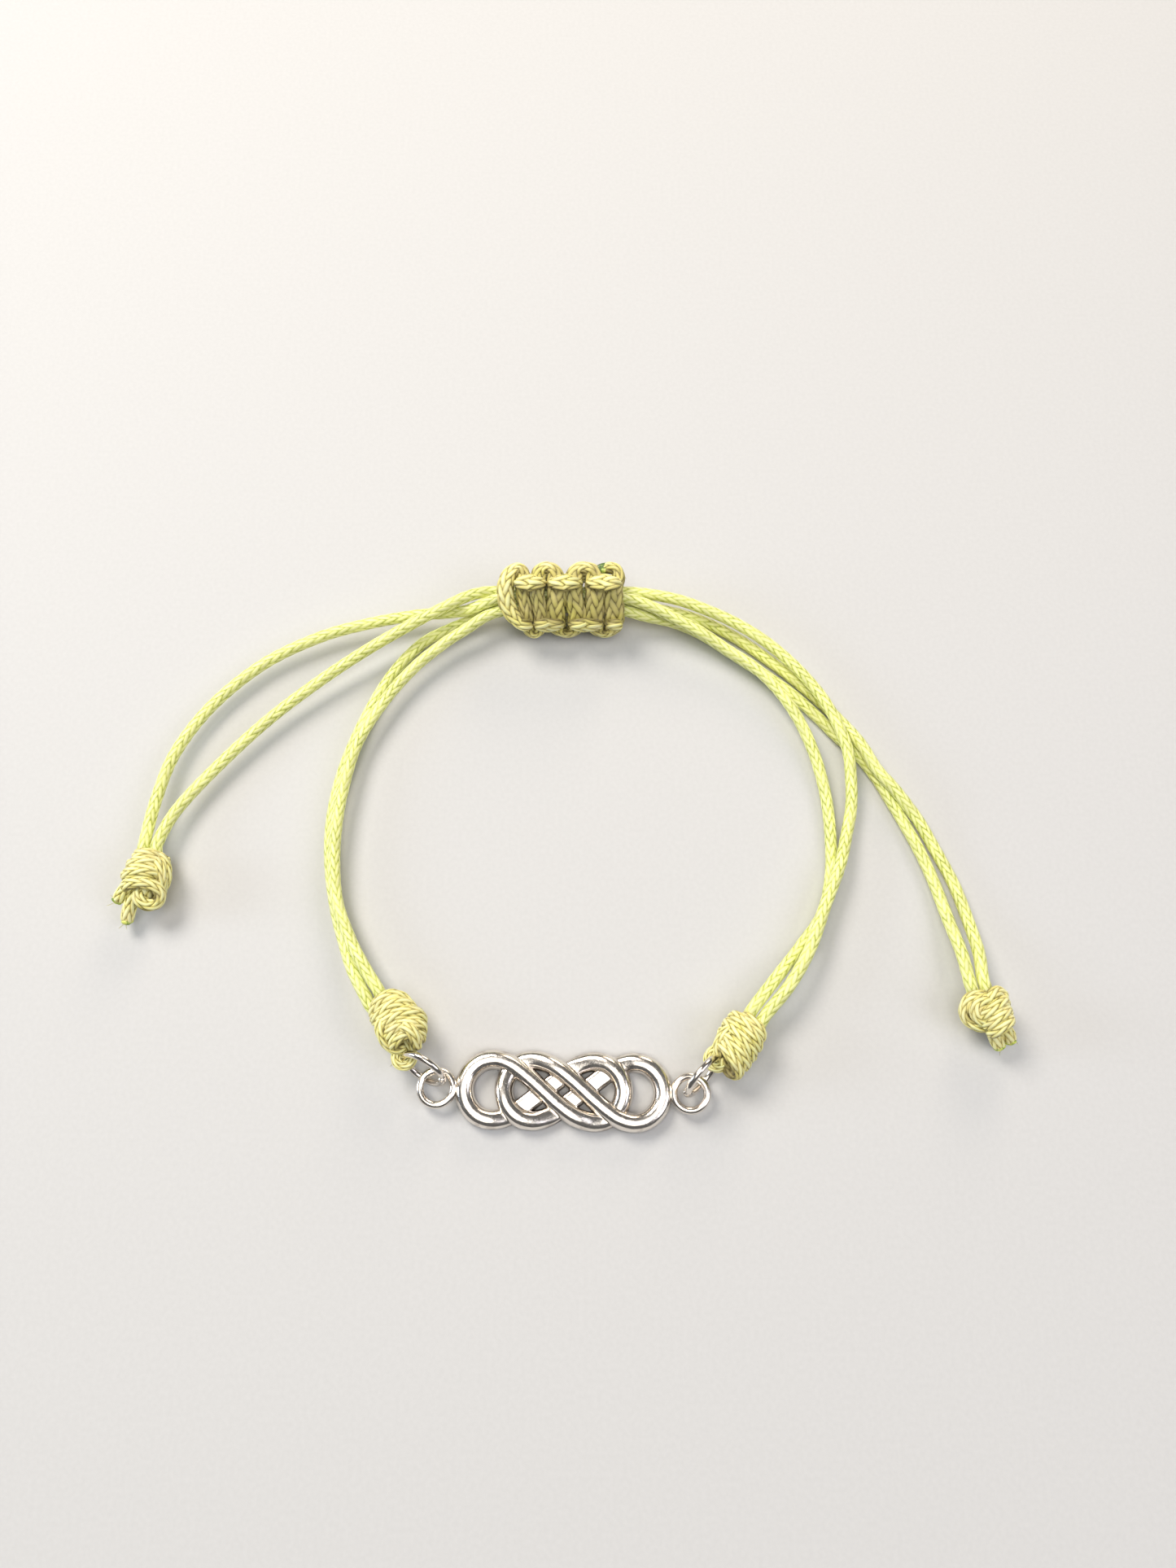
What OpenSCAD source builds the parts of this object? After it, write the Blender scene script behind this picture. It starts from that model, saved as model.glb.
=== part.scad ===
/* [Cord] */
// Diameter of the braided waxed cord
cord_d = 1.4; // [1.3:0.05:1.4]
// Sides of a swept cord
cord_sides = 8; // [6:2:8]

/* [Charm] */
// Height of the front strands of the charm over its flat underside
charm_thick = 2.3; // [2.0:0.1:2.6]
// Width of a charm strand
charm_strand = 1.9; // [1.7:0.1:2.0]
// Height of the recessed back bars
bar_height = 1.2; // [0.9:0.1:1.5]
// Wire of the small loop at each end of the charm
loop_wire = 0.85; // [0.75:0.05:0.9]

/* [Jump rings] */
// Wire of a jump ring
ring_wire = 0.8; // [0.6:0.1:0.8]
// Outer diameter of a jump ring
ring_od = 5.8; // [5.6:0.1:5.8]

/* [Knots] */
// Length of the cut ends past the end knots
stub_len = 2.2; // [1.8:0.2:3]

/* [Hidden] */
cord_r = cord_d / 2;
ring_r = (ring_od - ring_wire) / 2;
half_gap = 0.05;
// Radius of the cord where it is drawn tight round a ring or cut off
bight_r = cord_r * 0.8;

// Brings the middle of the closed loop over the origin
middle = [0, 0.85, 0];

// Where the sliding knot sits and how it leans, far edge up
slide_at = [-3.6, 29.2, 3.5];
slide_lean = 40;

// Routes of the cords from the middle of the sliding knot outwards, columns x, y, z
tail_left_b_way = [[-3.6, 30.3, 3.4], [-7, 30.3, 3.4], [-10.4, 30.3, 3.4], [-13, 30.2, 3.7],
    [-15.5, 29.4, 4], [-18.4, 27.8, 4.1], [-21.8, 26, 3.8], [-27.8, 22.6, 2.9], [-33.7, 18.5, 2.3],
    [-39.7, 13.5, 1.9], [-45.4, 7.4, 1.8], [-49.2, 2.3, 2.1]];
tail_left_a_way = [[-3.6, 29.3, 4.6], [-7, 29.3, 4.6], [-10.4, 29.2, 4.5], [-13, 28.6, 3.9],
    [-15.5, 28, 3], [-18.5, 27.9, 2.4], [-22, 27.7, 2.2], [-28.1, 26.6, 2], [-34.1, 24.8, 1.8],
    [-40.7, 21.3, 1.6], [-46.5, 15.8, 1.6], [-50.2, 9.7, 1.8], [-51.7, 3.8, 2.2]];
band_left_outer_way = [[-3.6, 29.1, 2.4], [-7, 29.1, 2.4], [-10.4, 29, 2.3], [-13, 28.4, 1.9],
    [-15.4, 27.3, 1.4], [-18.3, 26.1, 1.1], [-21.5, 24.2, 0.9], [-24.9, 20.1, 0.8], [-27.8, 14.3, 0.8],
    [-30, 7.9, 0.8], [-31, 2, 0.8], [-30.9, -3.5, 0.8], [-29.9, -9, 0.9], [-28.5, -13.4, 1.3],
    [-27.1, -16.8, 2.2]];
band_left_inner_way = [[-3.6, 28.1, 3.6], [-7, 28.1, 3.6], [-10.4, 27.8, 3.5], [-13, 27.1, 3.3],
    [-15.4, 25.6, 2.9], [-18.2, 23.8, 2.5], [-21.8, 20.7, 2.2], [-25.4, 16.1, 2.2], [-28.3, 10.7, 2.2],
    [-29.6, 5, 2.3], [-30.1, 0.5, 2.3], [-30.1, -4, 2.3], [-29.4, -8.8, 2.4], [-27.6, -13.2, 2.7],
    [-25.8, -16.3, 3.1]];
band_right_outer_way = [[-3.6, 30.3, 3.4], [-0.5, 30.3, 3.4], [3, 30.3, 3.5], [6.5, 30, 3.6],
    [10.5, 29.2, 3.6], [13.9, 28, 3.4], [17.8, 26.2, 3.1], [21.8, 23.6, 2.7], [25.7, 19.8, 2.4],
    [28.7, 15.4, 2.4], [30.6, 10.3, 2.4], [31, 6.5, 1.8], [30.9, 3, 1.3], [30.1, -0.4, 1.5],
    [28.9, -4.4, 2.1], [26.9, -9.1, 2.4], [24.9, -14, 2.7], [22.3, -18.3, 3.1]];
band_right_inner_way = [[-3.6, 29.3, 4.6], [-0.5, 29.3, 4.6], [3, 29.1, 4.6], [6.5, 28.3, 4.2],
    [9.9, 26.8, 3.7], [13.3, 25.1, 3.1], [16.8, 22.8, 2.5], [20.6, 20, 2.4], [24, 15.8, 2.2],
    [26.5, 10.7, 1.5], [27.9, 5.3, 0.9], [28.3, 0, 0.8], [28, -5.5, 0.79], [26.7, -10, 0.88],
    [24.1, -13.6, 1.2], [21.1, -17.2, 2.3]];
tail_right_a_way = [[-3.6, 29.1, 2.4], [-0.5, 29.1, 2.4], [3, 29.1, 2.3], [6.8, 28.9, 1.9],
    [10.5, 28.4, 1.4], [14, 27.4, 1], [18, 25.3, 0.8], [21.8, 22.4, 0.8], [25.3, 19.4, 0.8],
    [28.5, 16.2, 0.8], [31, 13.1, 1.25], [32.5, 10.5, 2.1], [34.1, 7.4, 2.15], [36.1, 4.9, 2],
    [38.6, 1.5, 1.3], [40.4, -1.9, 0.85], [42.4, -6.5, 0.8], [43.5, -11, 1.3], [44, -14.6, 2.2]];
tail_right_b_way = [[-3.6, 28.1, 3.6], [-0.5, 28.1, 3.6], [3, 28, 3.4], [6.8, 27.3, 2.7],
    [10.5, 26.8, 1.8], [13.9, 25.5, 1.1], [17.5, 23.1, 0.8], [21.1, 20.5, 0.8], [24.6, 17.7, 0.8],
    [27.4, 14.9, 0.79], [30, 12, 0.75], [32.4, 9.6, 0.72], [34.3, 6.8, 0.72], [35.8, 3.9, 0.72],
    [37.3, 0.8, 0.79], [38.8, -2.6, 0.8], [40.1, -6.3, 0.8], [41.2, -10.8, 1.3], [42, -14.6, 2.3]];

// Where each bar of the sliding knot crosses the front, columns far edge, near edge
bar_table = [[-6.1, -5.6], [-5.0, -4.5], [-3.1, -2.7], [-0.7, -0.9], [1.3, 1.8], [4.0, 3.9], [6.2, 6.4]];

// One infinity of the charm round its own centre, columns x, y, height, flat top
infinity_table = [[-8.85, 0, 2.0, 0], [-8.4, 1.65, 2.0, 0], [-7.2, 2.85, 2.1, 0], [-5.65, 3.25, 2.2, 0],
    [-4.1, 2.9, 2.3, 0], [-2.8, 2.15, 2.3, 0], [-1.3, 1.0, 2.3, 0], [0, -0.1, 2.3, 0],
    [1.3, -1.2, 2.3, 0], [2.8, -2.3, 2.3, 0], [4.1, -2.95, 2.1, 0], [5.65, -3.25, 1.7, 0],
    [7.2, -2.85, 1.5, 0], [8.4, -1.65, 1.9, 0], [8.85, 0, 2.2, 0], [8.4, 1.65, 2.3, 0],
    [7.2, 2.85, 2.2, 0], [5.65, 3.25, 1.9, 0], [4.1, 2.9, 1.5, 0], [2.8, 2.15, 1.2, 1],
    [1.3, 1.0, 1.2, 1], [0, 0, 1.2, 1], [-1.3, -1.0, 1.2, 1], [-2.8, -2.15, 1.2, 1],
    [-4.1, -2.9, 1.4, 0], [-5.65, -3.25, 1.8, 0], [-7.2, -2.85, 2.0, 0], [-8.4, -1.65, 2.0, 0]];
infinity_shift = 2.2;
charm_at = [-3.2, -29.85, 0];
charm_turn = -1.25;
loop_x = 14.05;
loop_r = 1.85;
loop_z = 1.4;

// Jump rings, columns centre, direction towards the charm, lean of the top outwards
ring_left = [[-18.6, -27.6, 2.77], [0.864, -0.503], 20];
ring_right = [[12.05, -28.4, 2.85], [-0.67, -0.742], -13];

// Knots, columns centre, axis in plan from the cord side, half length, radius over the wraps,
// how far the cords enter beside the axis
ring_knot_left_at = [[-21.65, -22.5, 2.75], [0.5, -0.866], 3, 2.6, -1.1];
ring_knot_right_at = [[16.2, -24.5, 2.8], [-0.55, -0.835], 2.6, 2.6, 0.35];
end_knot_left_at = [[-51.5, -6.25, 2.65], [-0.05, -0.999], 3.1, 2.6, -0.25];
end_knot_right_at = [[44, -21.6, 2.75], [0.2, -0.98], 2.4, 2.65, 0];

// Cut ends past the end knots, columns start, direction, length added to stub_len, half spread
stub_left = [[-53, -9, 2.3], [-0.3, -0.95, -0.1], 0.1, 0.5];
stub_right = [[45, -23.7, 2.5], [0.5, -0.86, -0.15], -0.4, 0.7];

// A smooth curve through the points, with the given steps between two of them
function curve(p, steps) = concat([for (i = [0:len(p) - 2]) for (j = [0:steps - 1])
    let(t = j / steps, a = p[max(i - 1, 0)], b = p[i], c = p[i + 1], d = p[min(i + 2, len(p) - 1)])
    0.5 * (2 * b + (c - a) * t + (2 * a - 5 * b + 4 * c - d) * t * t
        + (3 * b - a - 3 * c + d) * t * t * t)], [p[len(p) - 1]]);
function ring_curve(p, steps) = let(n = len(p)) [for (i = [0:n - 1]) for (j = [0:steps - 1])
    let(t = j / steps, a = p[(i + n - 1) % n], b = p[i], c = p[(i + 1) % n], d = p[(i + 2) % n])
    0.5 * (2 * b + (c - a) * t + (2 * a - 5 * b + 4 * c - d) * t * t
        + (3 * b - a - 3 * c + d) * t * t * t)];
function unit(v) = v / norm(v);
function tangents(p) = [for (i = [0:len(p) - 1]) unit(p[min(i + 1, len(p) - 1)] - p[max(i - 1, 0)])];
function across(u, t) = unit(u - (u * t) * t);
function sides_of(t) = [for (i = 0, u = across([0.12, 0.31, 1], t[0]); i < len(t);
    i = i + 1, u = i < len(t) ? across(u, t[i]) : u) u];
function rings_of(p, r, m) = let(t = tangents(p), u = sides_of(t)) [for (i = [0:len(p) - 1])
    let(v = cross(t[i], u[i])) [for (k = [0:m - 1])
    p[i] + r * (cos(360 * k / m) * u[i] + sin(360 * k / m) * v)]];
function wall(m, i) = [for (k = [0:m - 1]) each [[i * m + k, (i + 1) * m + (k + 1) % m, i * m + (k + 1) % m],
    [i * m + k, (i + 1) * m + k, (i + 1) * m + (k + 1) % m]]];
// A route that starts a little further on
function shorten(p, a) = concat([p[0] + a * unit(p[1] - p[0])], [for (i = [1:len(p) - 1]) p[i]]);

// One closed skin over rings of points
module skin(rings) {
    m = len(rings[0]);
    n = len(rings);
    polyhedron(points = [for (g = rings) each g],
        faces = concat([[for (k = [0:m - 1]) k]], [for (i = [0:n - 2]) each wall(m, i)],
            [[for (k = [0:m - 1]) n * m - 1 - k]]));
}
// The last two points of a strand, square to the face of the knot that it enters
function into(at, s) = let(a = [at[1][0], at[1][1], 0], q = [-at[1][1], at[1][0], 0])
    [for (e = [[1.5, 0.78], [0.17, 0.77]]) at[0] - (at[2] + e[0]) * a + (at[4] + e[1] * s) * q];
// A cord as one skin
module cord(way, at, s) {
    p = concat(way, into(at, s));
    skin(rings_of(curve(shorten(p, half_gap), 2), cord_r, cord_sides));
}
// A cord as convex links, for a piece whose turns lie against each other
module links(p, r) {
    rings = rings_of(p, r, cord_sides);
    for (i = [0:len(p) - 2]) hull() skin([rings[i], rings[i + 1]]);
}

// Charm
function profile(w, h, flat) = let(s = [[-0.5, 0], [-0.5, 0.45], [-0.42, 0.72], [-0.25, 0.92], [0, 1],
    [0.25, 0.92], [0.42, 0.72], [0.5, 0.45], [0.5, 0]], f = [[-0.43, 0], [-0.43, 0.5], [-0.43, 0.9],
    [-0.35, 1], [0, 1], [0.35, 1], [0.43, 0.9], [0.43, 0.5], [0.43, 0]])
    [for (i = [0:8]) let(q = (1 - flat) * s[i] + flat * f[i]) [q[0] * w, q[1] * h]];
function tall(h) = h > 1.2 ? bar_height + (h - 1.2) * (charm_thick - bar_height) / 1.1 : bar_height;
function station(q, t) = let(side = [-t[1], t[0]]) [for (c = profile(charm_strand, tall(q[2]), q[3]))
    [q[0] + c[0] * side[0], q[1] + c[0] * side[1], c[1]]];
module infinity() {
    p = ring_curve(infinity_table, 2);
    n = len(p);
    rings = [for (i = [0:n - 1]) let(d = p[(i + 1) % n] - p[(i + n - 1) % n])
        station(p[i], unit([d[0], d[1]]))];
    for (i = [0:n - 1]) hull() skin([rings[(i + 1) % n], rings[i]]);
}
module end_loop() {
    translate([0, 0, loop_z]) rotate_extrude($fn = 24) translate([loop_r, 0]) circle(d = loop_wire, $fn = 8);
}
module charm() {
    color([0.8, 0.78, 0.76]) translate(middle + charm_at) rotate([0, 0, charm_turn]) union() {
        translate([-infinity_shift, 0, 0]) infinity();
        rotate([0, 0, 180]) translate([-infinity_shift, 0, 0]) infinity();
        for (s = [-1, 1]) translate([s * loop_x, 0, 0]) end_loop();
    }
}

// Jump rings, whole turns of round wire
module jump_ring(at) {
    translate(at[0]) rotate([0, 0, atan2(at[1][1], at[1][0])]) rotate([-at[2], 0, 0]) rotate([90, 0, 0])
        rotate_extrude($fn = 48) translate([ring_r, 0]) circle(d = ring_wire, $fn = 24);
}
module jump_ring_left() {
    color([0.8, 0.78, 0.76]) translate(middle) jump_ring(ring_left);
}
module jump_ring_right() {
    color([0.8, 0.78, 0.76]) translate(middle) jump_ring(ring_right);
}

// Knots of the doubled cord, drawn along x and then placed
wrap_step = 1.3;
barrel_rings = 18;
barrel_sides = 20;
function ridge(f) = let(d = (f - floor(f) - 0.5) * wrap_step) cord_r - sqrt(cord_r * cord_r - d * d);
function barrel_r(at, f, k) = at[3] * (f < 0 ? 1 + 0.42 * pow(f, 5) : 1 - 0.7 * pow(f, 4))
    - ridge(at[2] * f / wrap_step + 2 * k / barrel_sides + 100);
// A point of the frame of the knot, x along its axis, in the frame of the part
function placed(at, p) = let(a = [at[1][0], at[1][1], 0], q = [-at[1][1], at[1][0], 0])
    at[0] + p[0] * a + p[1] * q + [0, 0, p[2]];
function barrel(at, count) = [for (i = [0:count - 1]) let(f = 2 * i / barrel_rings - 1)
    [for (k = [0:barrel_sides - 1]) let(a = 360 * k / barrel_sides, r = barrel_r(at, f, k))
    placed(at, [at[2] * f, r * cos(a) + (i == 0 ? at[4] : 0), r * sin(a)])]];
// The bight that holds a jump ring, in the frame of the part
function bight_way(at, ring) = let(e = ring[0] - ring_r * [ring[1][0], ring[1][1], 0],
    k = unit([at[0][0] - e[0], at[0][1] - e[1], 0]), q = [k[1], -k[0], 0],
    b = bight_r + ring_wire / 2 + 0.1,
    c = at[0] - 1.3 * k)
    [c + 0.8 * q, e + 0.7 * k + b * q, e + b * q, e - 0.5 * b * k + 0.87 * b * q,
    e - 0.87 * b * k + 0.5 * b * q, e - b * k, e - 0.87 * b * k - 0.5 * b * q,
    e - 0.5 * b * k - 0.87 * b * q, e - b * q, e + 0.7 * k - b * q, c - 0.8 * q];
module ring_knot(at, ring) {
    union() {
        skin(barrel(at, barrel_rings + 1));
        links(bight_way(at, ring), bight_r);
    }
}
module ring_knot_left() {
    color([0.72, 0.74, 0.42]) translate(middle) ring_knot(ring_knot_left_at, ring_left);
}
module ring_knot_right() {
    color([0.72, 0.74, 0.42]) translate(middle) ring_knot(ring_knot_right_at, ring_right);
}
function oval(c, d, r, spread) = let(q = unit(cross([0, 0, 1], d)), w = cross(d, q))
    [for (k = [0:barrel_sides - 1]) let(a = 360 * (k + 0.5) / barrel_sides)
    c + (r * cos(a) + (cos(a) > 0 ? spread : -spread)) * q + r * sin(a) * w];
// The barrel runs on into the cut ends as one skin
module end_knot(at, stub) {
    d = unit(stub[1]);
    neck = (placed(at, [0.9 * at[2], 0, 0]) + stub[0] - 0.4 * d) / 2;
    skin(concat(barrel(at, barrel_rings - 1), [oval(neck, d, 1.2, 0.5)],
        [for (f = [0, 1]) oval(stub[0] + f * (stub_len + stub[2]) * d, d, bight_r, stub[3])]));
}
module end_knot_left() {
    color([0.72, 0.74, 0.42]) translate(middle) end_knot(end_knot_left_at, stub_left);
}
module end_knot_right() {
    color([0.72, 0.74, 0.42]) translate(middle) end_knot(end_knot_right_at, stub_right);
}

// Sliding closure, a row of square knots tied by one cord round the four strands
core = 1.57;
function edge(n, s) = bar_table[n][s > 0 ? 0 : 1];
function front_turn(n, s) = let(p = edge(n, s), q = edge(n + 1, s), c = core)
    [[p, s * 1.1, c + 0.75], [p + 0.05, s * 2.2, c + 0.25], [p + 0.3, s * 3.4, c - 0.35],
    [(p + q) / 2, s * 3.8, c - 0.55], [q - 0.3, s * 3.4, c - 0.35], [q - 0.05, s * 2.2, c + 0.25],
    [q, s * 1.1, c + 0.75]];
function room(a, b) = max(0.05, min(0.5, (b - a - 1.4) / 2));
function rise(n, s) = let(p = edge(n, s), g = room(edge(n - 1, s), p), c = core)
    [[p, s * 1.45, -c - 0.76], [p - 0.6 * g, s * 2.25, -1.45], [p - g, s * (c + 0.8), 0.2],
    [p - g, s * (c + 0.9), 1.8], [p, s * 2.3, c + 1.6]];
function dive(n, s) = let(q = edge(n, s), g = n < 6 ? room(q, edge(n + 1, s)) : 0.4, c = core)
    [[q, s * 2.3, c + 1.6], [q + g, s * (c + 0.9), 1.8], [q + g, s * (c + 0.8), 0.2],
    [q + 0.6 * g, s * 2.25, -1.45], [q, s * 1.45, -c - 0.76]];
function slide_way() = concat([[7.3, 3.1, 1.0], [6.8, 3.0, 1.3], [6.3, 2.2, 1.8], [6.2, 1.1, core + 0.75]],
    [for (n = [5:-1:1]) each reverse(front_turn(n, n % 2 == 0 ? 1 : -1))], reverse(front_turn(0, 1)),
    [[-6.9, 0.2, core + 0.95], [-6.8, -1.0, core + 1.1], [-6.1, -1.9, core + 1.3], [-5.2, -2.3, core + 1.6]],
    dive(1, -1), [for (n = [1:5]) each concat(rise(n, n % 2 == 1 ? 1 : -1),
        [[(edge(n, n % 2 == 1 ? 1 : -1) + edge(n + 1, n % 2 == 1 ? 1 : -1)) / 2,
        (n % 2 == 1 ? 1 : -1) * 2.25, core + 1.62]], dive(n + 1, n % 2 == 1 ? 1 : -1))],
    rise(6, -1), [[7.2, -2.35, core + 1.3]]);
function reverse(v) = [for (i = [len(v) - 1:-1:0]) v[i]];
module sliding_knot() {
    color([0.74, 0.77, 0.42]) translate(middle + slide_at) rotate([slide_lean, 0, 0])
        links(slide_way(), cord_r - 0.03);
}

module cord_colour() {
    color([0.78, 0.85, 0.45]) translate(middle) children();
}
module band_cord_left_outer() {
    cord_colour() cord(band_left_outer_way, ring_knot_left_at, -1);
}
module band_cord_left_inner() {
    cord_colour() cord(band_left_inner_way, ring_knot_left_at, 1);
}
module band_cord_right_outer() {
    cord_colour() cord(band_right_outer_way, ring_knot_right_at, 1);
}
module band_cord_right_inner() {
    cord_colour() cord(band_right_inner_way, ring_knot_right_at, -1);
}
module tail_cord_left_a() {
    cord_colour() cord(tail_left_a_way, end_knot_left_at, -1);
}
module tail_cord_left_b() {
    cord_colour() cord(tail_left_b_way, end_knot_left_at, 1);
}
module tail_cord_right_a() {
    cord_colour() cord(tail_right_a_way, end_knot_right_at, 1);
}
module tail_cord_right_b() {
    cord_colour() cord(tail_right_b_way, end_knot_right_at, -1);
}

charm();
jump_ring_left();
jump_ring_right();
ring_knot_left();
ring_knot_right();
band_cord_left_outer();
band_cord_left_inner();
band_cord_right_outer();
band_cord_right_inner();
sliding_knot();
tail_cord_left_a();
tail_cord_left_b();
tail_cord_right_a();
tail_cord_right_b();
end_knot_left();
end_knot_right();
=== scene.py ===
import math

import bpy
import numpy as np
from bpy.props import FloatProperty, FloatVectorProperty, IntProperty
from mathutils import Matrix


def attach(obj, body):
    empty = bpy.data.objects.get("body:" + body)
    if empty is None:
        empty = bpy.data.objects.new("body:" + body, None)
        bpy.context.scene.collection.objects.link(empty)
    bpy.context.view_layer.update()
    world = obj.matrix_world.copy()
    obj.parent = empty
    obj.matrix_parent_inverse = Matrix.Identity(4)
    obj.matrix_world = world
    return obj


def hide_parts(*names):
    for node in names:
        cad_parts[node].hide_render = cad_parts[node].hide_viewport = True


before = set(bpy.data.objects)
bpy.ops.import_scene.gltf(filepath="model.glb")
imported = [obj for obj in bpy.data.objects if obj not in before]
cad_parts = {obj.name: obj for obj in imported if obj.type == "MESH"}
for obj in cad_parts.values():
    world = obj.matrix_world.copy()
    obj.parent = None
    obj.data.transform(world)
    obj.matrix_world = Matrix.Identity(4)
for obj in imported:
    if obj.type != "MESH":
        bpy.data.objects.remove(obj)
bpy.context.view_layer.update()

bl_info = {
    "name": "Braided cord bracelet",
    "version": (1, 0, 0),
    "blender": (4, 5, 0),
    "location": "3D View > Sidebar > Bracelet",
    "description": "Makes the cords, knots, charm and jump rings of an adjustable cord bracelet",
    "category": "Object",
}

MM = 0.001

# Where the part's own source puts things, in millimetres. CORE is half the thickness of the four
# strands that run through the sliding knot
MIDDLE = np.array([0.0, 0.85, 0.0])
SLIDE_AT = np.array([-3.6, 29.2, 3.5])
SLIDE_LEAN = math.radians(40)
CORE = 1.57

# Routes of the cords from the middle of the sliding knot outwards, columns x, y, z
TAIL_LEFT_B = [(-3.6, 30.3, 3.4), (-7, 30.3, 3.4), (-10.4, 30.3, 3.4), (-13, 30.2, 3.7),
    (-15.5, 29.4, 4), (-18.4, 27.8, 4.1), (-21.8, 26, 3.8), (-27.8, 22.6, 2.9), (-33.7, 18.5, 2.3),
    (-39.7, 13.5, 1.9), (-45.4, 7.4, 1.8), (-49.2, 2.3, 2.1)]
TAIL_LEFT_A = [(-3.6, 29.3, 4.6), (-7, 29.3, 4.6), (-10.4, 29.2, 4.5), (-13, 28.6, 3.9),
    (-15.5, 28, 3), (-18.5, 27.9, 2.4), (-22, 27.7, 2.2), (-28.1, 26.6, 2), (-34.1, 24.8, 1.8),
    (-40.7, 21.3, 1.6), (-46.5, 15.8, 1.6), (-50.2, 9.7, 1.8), (-51.7, 3.8, 2.2)]
BAND_LEFT_OUTER = [(-3.6, 29.1, 2.4), (-7, 29.1, 2.4), (-10.4, 29, 2.3), (-13, 28.4, 1.9),
    (-15.4, 27.3, 1.4), (-18.3, 26.1, 1.1), (-21.5, 24.2, 0.9), (-24.9, 20.1, 0.8), (-27.8, 14.3, 0.8),
    (-30, 7.9, 0.8), (-31, 2, 0.8), (-30.9, -3.5, 0.8), (-29.9, -9, 0.9), (-28.5, -13.4, 1.3),
    (-27.1, -16.8, 2.2)]
BAND_LEFT_INNER = [(-3.6, 28.1, 3.6), (-7, 28.1, 3.6), (-10.4, 27.8, 3.5), (-13, 27.1, 3.3),
    (-15.4, 25.6, 2.9), (-18.2, 23.8, 2.5), (-21.8, 20.7, 2.2), (-25.4, 16.1, 2.2), (-28.3, 10.7, 2.2),
    (-29.6, 5, 2.3), (-30.1, 0.5, 2.3), (-30.1, -4, 2.3), (-29.4, -8.8, 2.4), (-27.6, -13.2, 2.7),
    (-25.8, -16.3, 3.1)]
BAND_RIGHT_OUTER = [(-3.6, 30.3, 3.4), (-0.5, 30.3, 3.4), (3, 30.3, 3.5), (6.5, 30, 3.6),
    (10.5, 29.2, 3.6), (13.9, 28, 3.4), (17.8, 26.2, 3.1), (21.8, 23.6, 2.7), (25.7, 19.8, 2.4),
    (28.7, 15.4, 2.4), (30.6, 10.3, 2.4), (31, 6.5, 1.8), (30.9, 3, 1.3), (30.1, -0.4, 1.5),
    (28.9, -4.4, 2.1), (26.9, -9.1, 2.4), (24.9, -14, 2.7), (22.3, -18.3, 3.1)]
BAND_RIGHT_INNER = [(-3.6, 29.3, 4.6), (-0.5, 29.3, 4.6), (3, 29.1, 4.6), (6.5, 28.3, 4.2),
    (9.9, 26.8, 3.7), (13.3, 25.1, 3.1), (16.8, 22.8, 2.5), (20.6, 20, 2.4), (24, 15.8, 2.2),
    (26.5, 10.7, 1.5), (27.9, 5.3, 0.9), (28.3, 0, 0.8), (28, -5.5, 0.79), (26.7, -10, 0.88),
    (24.1, -13.6, 1.2), (21.1, -17.2, 2.3)]
TAIL_RIGHT_A = [(-3.6, 29.1, 2.4), (-0.5, 29.1, 2.4), (3, 29.1, 2.3), (6.8, 28.9, 1.9),
    (10.5, 28.4, 1.4), (14, 27.4, 1), (18, 25.3, 0.8), (21.8, 22.4, 0.8), (25.3, 19.4, 0.8),
    (28.5, 16.2, 0.8), (31, 13.1, 1.25), (32.5, 10.5, 2.1), (34.1, 7.4, 2.15), (36.1, 4.9, 2),
    (38.6, 1.5, 1.3), (40.4, -1.9, 0.85), (42.4, -6.5, 0.8), (43.5, -11, 1.3), (44, -14.6, 2.2)]
TAIL_RIGHT_B = [(-3.6, 28.1, 3.6), (-0.5, 28.1, 3.6), (3, 28, 3.4), (6.8, 27.3, 2.7),
    (10.5, 26.8, 1.8), (13.9, 25.5, 1.1), (17.5, 23.1, 0.8), (21.1, 20.5, 0.8), (24.6, 17.7, 0.8),
    (27.4, 14.9, 0.79), (30, 12, 0.75), (32.4, 9.6, 0.72), (34.3, 6.8, 0.72), (35.8, 3.9, 0.72),
    (37.3, 0.8, 0.79), (38.8, -2.6, 0.8), (40.1, -6.3, 0.8), (41.2, -10.8, 1.3), (42, -14.6, 2.3)]

# Knots, columns centre, axis from the cord side, half length, sideways place of the cords, how far
# before the end the hidden turns stop
KNOTS = {
    "ring_knot_left": ((-21.65, -22.5, 2.75), (0.5, -0.866), 3.0, -1.1, 0.3),
    "ring_knot_right": ((16.2, -24.5, 2.8), (-0.55, -0.835), 2.6, 0.35, 0.3),
    "end_knot_left": ((-51.5, -6.25, 2.65), (-0.05, -0.999), 3.1, -0.25, 0.3),
    "end_knot_right": ((44, -21.6, 2.75), (0.2, -0.98), 2.4, 0.0, 1.2)}

# Jump rings, columns centre, direction towards the charm, lean and turn of the split in degrees
RINGS = {
    "jump_ring_left": ((-18.6, -27.6, 2.77), (0.864, -0.503), 20, 22),
    "jump_ring_right": ((12.05, -28.4, 2.85), (-0.67, -0.742), -13, 18)}

# Split of a jump ring: its gap, how far its ends stand out of line, and their share of the wire
SPLIT_GAP = 0.06
SPLIT_SLIP = 0.1
SPLIT_THIN = 0.86

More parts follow.
